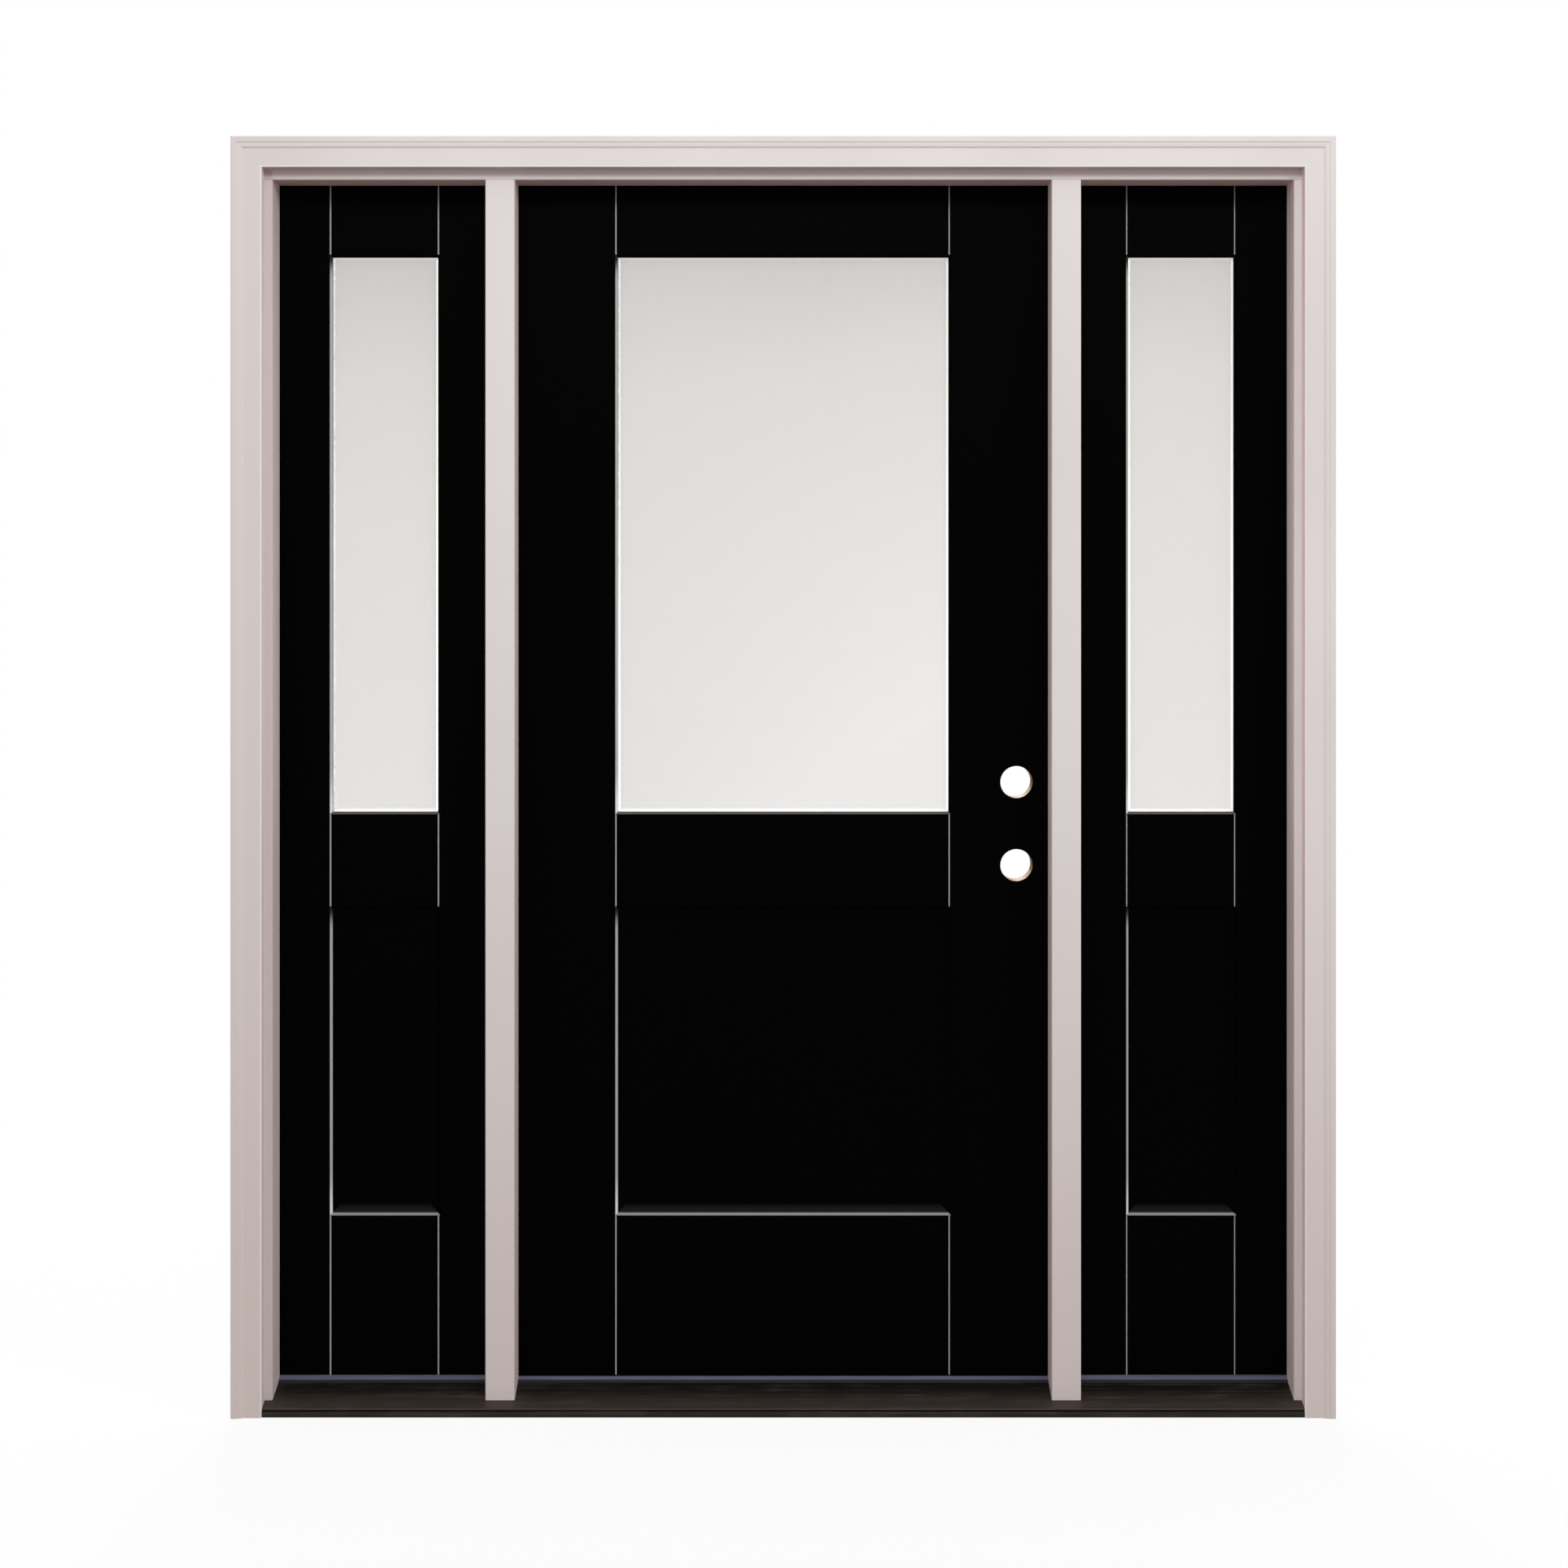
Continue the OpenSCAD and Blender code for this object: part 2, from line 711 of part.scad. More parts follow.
module strike_post() {
    mid_y = slab_y + slab_t / 2;
    color(PRIMED) difference() {
        post(1);
        for (z = BORE_Z) {
            box([door_rabbet_x - cut, mid_y - strike_w / 2, z - latch_plate_h / 2],
                [door_rabbet_x + strike_plate_d, mid_y + strike_w / 2,
                 z + latch_plate_h / 2]);
            translate([door_rabbet_x - cut, mid_y, z]) rotate([0, 90, 0])
                cylinder(h = strike_depth + cut, d = edge_bore_d, $fn = fine);
        }
    }
}

// Brickmould

// Keeps what lies below the 45 degree line through the corner joint
module mitre_cut() {
    reach = 2 * mould_w;
    translate([mould_x, cut, mould_z]) rotate([90, 0, 0]) linear_extrude(mould_t + 2 * cut)
        polygon([[-reach, -reach], [reach, reach], [-reach, reach]]);
}

module side_brickmould(side) {
    color(PRIMED) mirrored(side > 0) difference() {
        translate([mould_x, 0, 0]) linear_extrude(mould_z + mould_w)
            polygon([for (p = MOULD) [p[0], -p[1]]]);
        mitre_cut();
    }
}

module head_brickmould() {
    outer = mould_x + mould_w;
    color(PRIMED) intersection() {
        along_x(-outer, outer, [for (p = MOULD) [-p[1], mould_z + p[0]]]);
        translate([0, cut, 0]) rotate([90, 0, 0]) linear_extrude(mould_t + 2 * cut)
            polygon([[-mould_x, mould_z], [mould_x, mould_z],
                     [outer, mould_z + mould_w], [-outer, mould_z + mould_w]]);
    }
}

// Weatherstrips

module side_weatherstrip(side) {
    low = leaf_bottom;
    high = head_rabbet_z - max(strip_w, stop_h) - tongue_clearance;
    color(RUBBER) mirrored(side > 0) translate([0, 0, low]) linear_extrude(high - low)
        polygon([for (p = STRIP) [door_rabbet_x - p[0], stop_y + p[1]]]);
}

module head_weatherstrip() {
    half = door_rabbet_x - tongue_clearance;
    color(RUBBER)
        along_x(-half, half, [for (p = STRIP) [stop_y + p[1], head_rabbet_z - p[0]]]);
}

// Sill

// Takes the sill's two front corners away, where the brickmould runs down
module sill_corners() {
    for (side = [-1, 1])
        mirrored(side > 0) box([mould_x, -sill_nose - cut, -cut],
                               [frame_x + cut, 0, deck_h + cut]);
}

module sill_deck() {
    color(BRONZE) difference() {
        along_x(-frame_x, frame_x, concat(NOSE, DECK, UNDER_DECK));
        sill_corners();
    }
}

module sill_base() {
    color(COMPOSITE) difference() {
        along_x(-frame_x, frame_x,
                concat(UNDER_DECK, [[jamb_depth, 0], [jamb_depth, seat_h],
                                    [deck_y, seat_h]]));
        sill_corners();
    }
}

// Cap between two stops (front) and two rabbets (rear), its flat at height top
module threshold_cap(stop_x0, stop_x1, rabbet_x0, rabbet_x1, top) {
    toe_z = deck_z(cap_front_y);
    rear = jamb_depth;
    crown = [[deck_y, deck_h], [cap_front_y, toe_z], [cap_front_y, toe_z + cap_toe_t],
             [cap_crown_y - cap_crown_w, cap_crown_h], [cap_crown_y, cap_crown_h]];
    color(CAP_GREY) difference() {
        along_x(rabbet_x0, rabbet_x1,
                concat([[deck_y, seat_h]], crown,
                       [[cap_crown_y + cap_drop, top], [rear - cap_round, top],
                        [rear, top - cap_round], [rear, seat_h]]));
        box([rabbet_x0 - cut, cap_front_y - cut, seat_h - cut],
            [stop_x0, stop_y, cap_crown_h + cut]);
        box([stop_x1, cap_front_y - cut, seat_h - cut],
            [rabbet_x1 + cut, stop_y, cap_crown_h + cut]);
    }
}

module door_threshold_cap() {
    threshold_cap(-door_stop_x, door_stop_x, -door_rabbet_x, door_rabbet_x, door_cap_h);
}

module side_threshold_cap(side) {
    mirrored(side > 0)
        threshold_cap(post_outer_x, jamb_stop_x, side_rabbet_x, jamb_rabbet_x, leaf_bottom);
}

sill_base();
sill_deck();
door_threshold_cap();
side_threshold_cap(-1);  // left_threshold_cap
side_threshold_cap(1);  // right_threshold_cap
side_jamb(-1);  // left_jamb
side_jamb(1);  // right_jamb
head_jamb();
hinge_post();
strike_post();
side_brickmould(-1);  // left_brickmould
side_brickmould(1);  // right_brickmould
head_brickmould();
side_weatherstrip(-1);  // hinge_side_weatherstrip
side_weatherstrip(1);  // strike_side_weatherstrip
head_weatherstrip();
sidelight_seal(-1);  // left_sidelight_seal
sidelight_seal(1);  // right_sidelight_seal
sidelight_exterior_skin(-1);  // left_sidelight_exterior_skin
sidelight_interior_skin(-1);  // left_sidelight_interior_skin
sidelight_core(-1);  // left_sidelight_core
sidelight_outer_glass(-1);  // left_sidelight_outer_glass
sidelight_inner_glass(-1);  // left_sidelight_inner_glass
sidelight_spacer(-1);  // left_sidelight_spacer
sidelight_exterior_skin(1);  // right_sidelight_exterior_skin
sidelight_interior_skin(1);  // right_sidelight_interior_skin
sidelight_core(1);  // right_sidelight_core
sidelight_outer_glass(1);  // right_sidelight_outer_glass
sidelight_inner_glass(1);  // right_sidelight_inner_glass
sidelight_spacer(1);  // right_sidelight_spacer
hinge_frame_leaves();
hinge_pins();
door_exterior_skin();
door_interior_skin();
door_hinge_stile();
door_lock_stile();
door_top_rail();
door_foot_rail();
door_foam_core();
door_outer_glass();
door_inner_glass();
door_glass_spacer();
door_sweep();
hinge_door_leaves();
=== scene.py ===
"""Finishes, hinge screws, light and camera for an entry door with two sidelights."""

import logging
import math
from collections.abc import Mapping, Sequence
from dataclasses import dataclass, field
from enum import Enum

import bpy
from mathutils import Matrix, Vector


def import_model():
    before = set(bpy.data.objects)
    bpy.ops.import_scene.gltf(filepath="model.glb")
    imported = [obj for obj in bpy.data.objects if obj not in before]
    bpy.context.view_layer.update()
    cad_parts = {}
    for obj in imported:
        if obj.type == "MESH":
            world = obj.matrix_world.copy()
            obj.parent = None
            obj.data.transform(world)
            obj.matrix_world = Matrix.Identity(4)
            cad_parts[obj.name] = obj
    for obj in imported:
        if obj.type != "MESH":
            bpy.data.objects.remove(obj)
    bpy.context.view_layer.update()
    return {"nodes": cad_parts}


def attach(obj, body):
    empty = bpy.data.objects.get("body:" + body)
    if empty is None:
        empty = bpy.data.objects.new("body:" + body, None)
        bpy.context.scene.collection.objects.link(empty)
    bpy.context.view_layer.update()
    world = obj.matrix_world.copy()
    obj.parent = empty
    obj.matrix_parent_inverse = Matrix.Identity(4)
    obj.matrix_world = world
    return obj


log = logging.getLogger("door")

Colour = tuple[float, float, float]
Point = tuple[float, float, float]
Span = tuple[float, float]
Nodes = Mapping[str, bpy.types.Object]

IMAGE_PX = 1932
WHITE = (1.0, 1.0, 1.0, 1.0)
SCREEN_KNEE = 0.04045
SCREEN_SLOPE = 12.92
SCREEN_LIFT = 0.055
SCREEN_POWER = 2.4


def linear(tone: Colour) -> tuple[float, float, float, float]:
    """Turns a colour as it is seen into the light that a shader works with.

    Args:
        tone: Red, green and blue from 0 to 255, as a screen shows them.

    Returns:
        The same colour as linear red, green, blue and an alpha of 1.
    """
    parts = [c / 255 for c in tone]
    r, g, b = (c / SCREEN_SLOPE if c <= SCREEN_KNEE
               else ((c + SCREEN_LIFT) / (1 + SCREEN_LIFT)) ** SCREEN_POWER for c in parts)
    return r, g, b, 1.0


class Wire:
    """A socket of a node tree that takes part in arithmetic."""

    def __init__(self, tree: bpy.types.NodeTree, socket: bpy.types.NodeSocket) -> None:
        """Keeps the socket and the tree that it belongs to."""
        self.tree = tree
        self.socket = socket

    def _math(self, operation: str, *terms: "Term") -> "Wire":
        """Adds a Math node.

        Args:
            operation: The node's operation, such as MULTIPLY.
            terms: What goes into its sockets, in order.

        Returns:
            The node's result.
        """
        node = self.tree.nodes.new("ShaderNodeMath")
        node.operation = operation
        for port, term in zip(node.inputs, terms):
            plug(self.tree, port, term)
        return Wire(self.tree, node.outputs[0])

    def __add__(self, other: "Term") -> "Wire":
        """Adds."""
        return self._math("ADD", self, other)

    __radd__ = __add__

    def __sub__(self, other: "Term") -> "Wire":
        """Subtracts."""
        return self._math("SUBTRACT", self, other)

    def __rsub__(self, other: "Term") -> "Wire":
        """Subtracts this from another."""
        return self._math("SUBTRACT", other, self)

    def __mul__(self, other: "Term") -> "Wire":
        """Multiplies."""
        return self._math("MULTIPLY", self, other)

    __rmul__ = __mul__

    def __abs__(self) -> "Wire":
        """Drops the sign."""
        return self._math("ABSOLUTE", self)

    def ramp(self, low: float, high: float) -> "Wire":
        """Rises smoothly from 0 to 1.

        Args:
            low: Where it is 0; it may be the larger of the two.
            high: Where it is 1.

        Returns:
            The smooth rise.
        """
        node = self.tree.nodes.new("ShaderNodeMapRange")
        node.interpolation_type = "SMOOTHSTEP"
        for name, term in (("Value", self), ("From Min", low), ("From Max", high)):
            plug(self.tree, node.inputs[name], term)
        return Wire(self.tree, node.outputs["Result"])

    def share(self, low: float, high: float) -> "Wire":
        """Rises evenly from 0 at low to 1 at high."""
        return (self - low) * (1 / (high - low))

    def below(self, high: float, soft: float) -> "Wire":
        """Is 1 up to high and fades to 0 over soft above it."""
        return 1 - self.ramp(high, high + soft)

    def between(self, low: float, high: float, soft: float) -> "Wire":
        """Is 1 from low to high and fades to 0 over soft on both sides."""
        return self.ramp(low - soft, low) * self.below(high, soft)

    def sway(self, middle: float, swing: float) -> "Wire":
        """Sways round a middle value, as far as noise round 0.5 takes it."""
        return middle + (self - 0.5) * swing


Term = Wire | float
Tint = Wire | Colour


def plug(tree: bpy.types.NodeTree, port: bpy.types.NodeSocket, value: object) -> None:
    """Links a wire to a socket, or sets the socket's own value.

    Args:
        tree: The tree that the socket is in.
        port: The socket.
        value: A wire, or a value that the socket can hold.
    """
    if isinstance(value, Wire):
        tree.links.new(port, value.socket)
    else:
        port.default_value = value


@dataclass(frozen=True)
class Pattern:
    """Cloudy noise: patches to a metre along X, Y and Z, and how many finer layers it has."""

    stretch: Point
    detail: float = 2.0


@dataclass(frozen=True)
class Relief:
    """Small unevenness of a surface: its depth in metres, and how strongly it shows."""

    depth: float
    strength: float


@dataclass(frozen=True)
class Graph:
    """A node tree that is built up one node at a time."""

    tree: bpy.types.NodeTree

    def add(self, kind: str, settings: Mapping[str, object] | None = None,
            sockets: Mapping[str | int, object] | None = None, out: str | int = 0) -> Wire:
        """Adds a node of any type.

        Args:
            kind: The node's type, such as ShaderNodeTexNoise.
            settings: The node's own settings; stops are a colour ramp's places and colours.
            sockets: Wires or values for its sockets, by name or number.
            out: The output that is wanted, by name or number.

        Returns:
            That output.
        """
        node = self.tree.nodes.new(kind)
        for name, value in (settings or {}).items():
            if name == "stops":
                self._set_stops(node.color_ramp.elements, value)
            else:
                setattr(node, name, value)
        for name, value in (sockets or {}).items():
            plug(self.tree, node.inputs[name], value)
        return Wire(self.tree, node.outputs[out])

    @staticmethod
    def _set_stops(elements: bpy.types.ColorRampElements, stops: Mapping[float, Colour]) -> None:
        """Gives a colour ramp its stops.

        Args:
            elements: The ramp's stops as they are.
            stops: Places from 0 to 1, each with a colour as it is seen.
        """
        while len(elements) < len(stops):
            elements.new(1.0)
        for element, (place, tone) in zip(elements, stops.items()):
            element.position = place
            element.color = linear(tone)

    def fade(self, factor: Term, stops: Mapping[float, Colour]) -> Wire:
        """Runs a factor from 0 to 1 through colours."""
        return self.add("ShaderNodeValToRGB", {"stops": stops}, {0: factor})

    def end(self, kind: str, wire: Wire) -> None:
        """Ends the tree in an output node of the given type."""
        plug(self.tree, self.tree.nodes.new(kind).inputs[0], wire)

    def blend(self, factor: Term, first: Tint, second: Tint) -> Wire:
        """Mixes two colours, each a wire or a colour as it is seen: the first at 0."""
        a, b = (tint if isinstance(tint, Wire) else linear(tint) for tint in (first, second))
        return self.add("ShaderNodeMix", {"data_type": "RGBA"}, {0: factor, 6: a, 7: b}, 2)

    def split(self, vector: Wire) -> tuple[Wire, Wire, Wire]:
        """Takes a vector apart.

        Args:
            vector: A place or a direction.

        Returns:
            Its X, Y and Z.
        """
        first = self.add("ShaderNodeSeparateXYZ", sockets={0: vector})
        ports = first.socket.node.outputs
        return first, Wire(self.tree, ports[1]), Wire(self.tree, ports[2])

    def place(self) -> Wire:
        """Gives the point's place in metres."""
        return self.add("ShaderNodeTexCoord", out="Object")

    def facing(self) -> tuple[Wire, Wire, Wire]:
        """Gives the way that the surface faces on its piece, as X, Y and Z."""
        return self.split(self.add("ShaderNodeTexCoord", out="Normal"))

    def noise(self, pattern: Pattern) -> Wire:
        """Gives cloudy noise.

        Args:
            pattern: How fine it is.

        Returns:
            A value round 0.5.
        """
        place = self.add("ShaderNodeMapping", sockets={"Vector": self.place(),
                                                       "Scale": pattern.stretch})
        return self.add("ShaderNodeTexNoise", sockets={"Vector": place, "Scale": 1.0,
                                                       "Detail": pattern.detail})

    def bump(self, height: Wire, relief: Relief) -> Wire:
        """Turns a height into a surface normal."""
        return self.add("ShaderNodeBump", sockets={
            "Strength": relief.strength, "Distance": relief.depth, "Height": height})

    def principled(self, **sockets: object) -> Wire:
        """Adds the main shader; underscores in the names of its sockets stand for spaces."""
        named = {name.replace("_", " "): value for name, value in sockets.items()}
        return self.add("ShaderNodeBsdfPrincipled", sockets=named)

    def choose(self, factor: Term, first: Wire, second: Wire) -> Wire:
        """Mixes two shaders."""
        return self.add("ShaderNodeMixShader", sockets={0: factor, 1: first, 2: second})


class Grain(Enum):
    """The way that a timber member runs, as the pattern of its grain."""

    UPRIGHT = Pattern((110.0, 110.0, 5.0), 4.0)
    ACROSS = Pattern((5.0, 110.0, 110.0), 4.0)


@dataclass(frozen=True)
class Finish:
    """A surface finish, named after what it covers."""

    name: str

    def material(self) -> bpy.types.Material:
        """Gives the finish's material, which is built on first use.

        Returns:
            The one material of this finish.
        """
        label = f"{self.name}_finish"
        found = bpy.data.materials.get(label)
        if found:
            return found
        made = bpy.data.materials.new(label)
        made.use_nodes = True
        made.node_tree.nodes.clear()
        graph = Graph(made.node_tree)
        graph.end("ShaderNodeOutputMaterial", self.shade(graph))
        return made

    def shade(self, graph: Graph) -> Wire:
        """Builds the shader."""
        raise NotImplementedError

    def dress(self, nodes: Nodes, *names: str) -> None:
        """Puts the finish on CAD nodes.

        Args:
            nodes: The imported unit's nodes by name.
            names: The nodes that get the finish.
        """
        for name in names:
            for slot in nodes[name].material_slots:
                slot.material = self.material()
            log.info("dressed %s in %s", name, self.name)


@dataclass(frozen=True)
class PrimedPaint(Finish):
    """Off-white factory primer on timber, with light and shade painted into its colour.

    Painted shade darkens and warms it towards its foot and on the left, most of all as a painted
    shadow on the strip beside the left brickmould. Its reveals carry painted warm bounce light,
    and the heads' undersides painted shade. The mould's down-facing slopes are painted lighter,
    its rounded inner edge carries a painted highlight, and the grain shows faintly.
    """

    grain: Grain
    tone: Colour = (226, 220, 219)
    clouds: Pattern = Pattern((3.0, 3.0, 1.6))
    cloud_levels: Span = (0.35, 0.7)
    cloud_tone: Colour = (221, 214, 213)
    # Painted shade: darker on the left, where less light falls.
    left_x: Span = (-0.6, -0.86)
    left_share: float = 0.9
    painted_shade_left_tone: Colour = (217, 209, 207)
    # Painted shade: darker and pinker towards the foot, where less light reaches.
    foot_z: Span = (1.3, 0.0)
    foot_share: float = 0.8
    foot_shading_tone: Colour = (211, 198, 195)
    # Painted shadow: the left brickmould's shadow on the front strip of the left jamb.
    strip_x: Span = (-0.8584, -0.8464)
    strip_y: Span = (0.002, 0.004)
    strip_top: float = 2.0586
    strip_blur: float = 0.0002
    painted_shadow_strip_tone: Colour = (198, 188, 185)
    # Painted warm bounce light in the reveals: lighter and pinker on the uprights, and darker on
    # the heads, as painted shade on their undersides.
    reveal_facing: Span = (0.5, 0.75)
    top_facing: Span = (0.3, 0.6)
    painted_reveal_shading_tone: Colour = (248, 229, 226)
    mould_y: Span = (-0.012, -0.008)
    slope_facing: Span = (0.62, 0.985)
    slope_blur: float = 0.01
    under_facing: Span = (-0.02, -0.2)
    # Painted light that lifts the shade on the mould's down-facing slopes.
    painted_light_slope_tone: Colour = (230, 224, 223)
    edge_x: float = 0.8625
    edge_z: float = 2.063
    # Painted highlight on the mould's rounded inner edge.
    painted_highlight_edge_tone: Colour = (238, 233, 232)
    blur: float = 0.0005
    roughness: float = 0.5
    roughness_swing: float = 0.12
    relief: Relief = Relief(0.0002, 0.25)
    specular: float = 0.35

    def shade(self, graph: Graph) -> Wire:
        """Builds the shader, from the plain paint to the painted highlight on the edge of the
        mould.

        Args:
            graph: The material's tree.

        Returns:
            The whole surface.
        """
        clouds = graph.noise(self.clouds)
        grain = graph.noise(self.grain.value)
        place_x, place_y, place_z = graph.split(graph.place())
        _, inwards, up = graph.facing()
        colour = graph.blend(clouds.ramp(*self.cloud_levels), self.tone, self.cloud_tone)
        # Painted shade on the left side.
        colour = graph.blend(place_x.ramp(*self.left_x) * self.left_share, colour, self.painted_shade_left_tone)
        # Painted shade towards the foot.
        colour = graph.blend(place_z.ramp(*self.foot_z) * self.foot_share, colour, self.foot_shading_tone)
        # Painted shadow of the left brickmould on the left jamb's front strip.
        front = (1 - place_y.ramp(*self.strip_y)) * place_z.below(self.strip_top, self.blur)
        strip = place_x.between(*self.strip_x, self.strip_blur) * front
        colour = graph.blend(strip, colour, self.painted_shadow_strip_tone)
        # Painted warm bounce light and shade in the reveals.
        reveal = (1 - abs(inwards).ramp(*self.reveal_facing)) * (1 - up.ramp(*self.top_facing))
        colour = graph.blend(reveal, colour, self.painted_reveal_shading_tone)
        # Painted light on the mould's down-facing slopes, and a painted highlight on its rounded
        # inner edge.
        slope = abs(inwards).between(*self.slope_facing, self.slope_blur)
        slope = slope * (1 - place_y.ramp(*self.mould_y))
        inner = abs(place_x).below(self.edge_x, self.blur) * place_z.below(self.edge_z, self.blur)
        underside = slope * (1 - inner) * up.ramp(*self.under_facing)
        colour = graph.blend(underside, colour, self.painted_light_slope_tone)
        # The base colour carries the painted highlight on the mould's rounded inner edge.
        return graph.principled(
            Base_Color=graph.blend(slope * inner, colour, self.painted_highlight_edge_tone),
            Roughness=grain.sway(self.roughness, self.roughness_swing),
            Normal=graph.bump(grain, self.relief),
            Specular_IOR_Level=self.specular)


@dataclass(frozen=True)
class BlackSkin(Finish):
    """Smooth near-black moulded skin, with painted highlights on its steep faces.

    The lite opening and the panel below it are sunk shapes. Steep faces that face right or up, on
    these and on the grooves, are painted light grey as highlights.
    """

    tone: Colour = (2, 2, 2)
    lite_z: Span = (0.9866, 1.9276)
    lite_blur: float = 0.0005
    lite_share: float = 0.7
    panel_z: Span = (0.312, 0.831)
    moulded_facing: Span = (0.3, 0.5)
    edge_facing: Span = (0.4, 0.55)
    # Painted highlights on steep faces that face right, brightest at the foot of each sunk shape.
    side_highlight_tone: Colour = (182, 182, 180)
    low_side_highlight_tone: Colour = (235, 234, 232)
    low_fade: Span = (0.01, 0.075)
    high_fade: Span = (0.04, 0.005)
    high_share: float = 0.95
    end_blur: float = 0.001
    # Painted highlight on steep faces that face up.
    upper_highlight_tone: Colour = (146, 145, 143)
    # Painted highlight, dim, on the up-facing slope at the foot of the panel.
    slope_facing: Span = (0.22, 0.34)
    slope_blur: float = 0.03
    slope_fade: Span = (0.004, 0.022)
    upper_slope_highlight_tone: Colour = (30, 30, 30)
    stipple: Pattern = Pattern((900.0, 900.0, 900.0), 1.0)
    wiping: Pattern = Pattern((6.0, 6.0, 2.5), 3.0)
    roughness: float = 0.42
    roughness_swing: float = 0.16
    relief: Relief = Relief(0.00006, 0.3)
    specular: float = 0.01

    def low_end(self, height: Wire, low: float) -> Wire:
        """Is 1 at the foot of a sunk shape's side edge and fades out above it."""
        near, far = self.low_fade
        return (1 - height.ramp(low + near, low + far)) * height.ramp(low, low + self.end_blur)

    def high_end(self, height: Wire, high: float) -> Wire:
        """Is 1 at the head of a sunk shape's side edge and fades out below it."""
        far, near = self.high_fade
        return height.ramp(high - far, high - near) * height.below(high, self.end_blur)

    def shade(self, graph: Graph) -> Wire:
        """Builds the shader: black, with painted highlights on its slopes, its side edges and its
        upper edges.

        Args:
            graph: The material's tree.

        Returns:
            The whole surface.
        """
        across, inwards, up = graph.facing()
        _, _, height = graph.split(graph.place())
        moulded = abs(inwards).ramp(*self.moulded_facing)
        in_lite = height.between(*self.lite_z, self.lite_blur)
        high_edge = self.high_end(height, self.lite_z[1]) + self.high_end(height, self.panel_z[1])
        low_edge = self.low_end(height, self.lite_z[0]) + self.low_end(height, self.panel_z[0])
        # Painted highlight tone for the right-facing sides.
        side = graph.blend(low_edge, self.side_highlight_tone, self.low_side_highlight_tone)
        # Painted highlight on the up-facing slope at the panel's foot.
        near, far = (self.panel_z[0] + rise for rise in self.slope_fade)
        slope = up.between(*self.slope_facing, self.slope_blur) * (1 - height.ramp(near, far))
        colour = graph.blend(slope, self.tone, self.upper_slope_highlight_tone)
        # Painted highlights on right-facing steep faces.
        sides = across.ramp(*self.edge_facing) * moulded * (1 - high_edge * self.high_share)
        colour = graph.blend(sides, colour, side)
        # Painted highlights on up-facing steep faces, weaker inside the lite.
        uppers = up.ramp(*self.edge_facing) * moulded * (1 - in_lite * self.lite_share)
        colour = graph.blend(uppers, colour, self.upper_highlight_tone)
        stipple = graph.noise(self.stipple)
        wiping = graph.noise(self.wiping)
        return graph.principled(
            Base_Color=colour,
            Roughness=wiping.sway(self.roughness, self.roughness_swing),
            Normal=graph.bump(stipple, self.relief),
            Specular_IOR_Level=self.specular)


@dataclass(frozen=True)
class Timber(Finish):
    """Clear pine of the stiles and rails, which shows on the leaf's edges."""

    early: Colour = (206, 171, 122)
    late: Colour = (168, 122, 74)
    figure: Pattern = Pattern((60.0, 60.0, 2.2), 3.0)
    figure_levels: Span = (0.35, 0.7)
    pores: Pattern = Pattern((700.0, 700.0, 14.0))
    pore_share: float = 0.3
    roughness: float = 0.55
    roughness_swing: float = 0.2
    relief: Relief = Relief(0.0002, 0.4)

    def shade(self, graph: Graph) -> Wire:
        """Builds the shader.

        Args:
            graph: The material's tree.

        Returns:
            The whole surface.
        """
        figure = graph.noise(self.figure)
        pores = graph.noise(self.pores)
        late = (figure + (pores - 0.5) * self.pore_share).ramp(*self.figure_levels)
        return graph.principled(
            Base_Color=graph.blend(late, self.early, self.late),
            Roughness=pores.sway(self.roughness, self.roughness_swing),
            Normal=graph.bump(pores, self.relief))


@dataclass(frozen=True)
class FoamCore(Finish):
    """Cream rigid foam with fine cells."""

    tone: Colour = (226, 214, 172)
    cell_tone: Colour = (202, 186, 140)
    cells: Pattern = Pattern((420.0, 420.0, 420.0), 1.0)
    cell_levels: Span = (0.4, 0.65)
    roughness: float = 0.9
    relief: Relief = Relief(0.0006, 0.6)

    def shade(self, graph: Graph) -> Wire:
        """Builds the shader.

        Args:
            graph: The material's tree.

        Returns:
            The whole surface.
        """
        cells = graph.noise(self.cells)
        return graph.principled(
            Base_Color=graph.blend(cells.ramp(*self.cell_levels), self.tone, self.cell_tone),
            Roughness=self.roughness,
            Normal=graph.bump(cells, self.relief))


@dataclass(frozen=True)
class ClearGlass(Finish):
    """Clear float glass: what is behind it shows, under a faint reflection."""

    tint: Colour = (254, 255, 254)
    sheen_roughness: float = 0.02
    sheen_index: float = 1.2

    def shade(self, graph: Graph) -> Wire:
        """Builds the shader.

        Args:
            graph: The material's tree.

        Returns:
            The whole surface.
        """
        through = graph.add("ShaderNodeBsdfTransparent", sockets={"Color": linear(self.tint)})
        sheen = graph.add("ShaderNodeBsdfGlossy", sockets={"Color": WHITE,
                                                           "Roughness": self.sheen_roughness})
        glancing = graph.add("ShaderNodeFresnel", sockets={"IOR": self.sheen_index})
        return graph.choose(glancing, through, sheen)


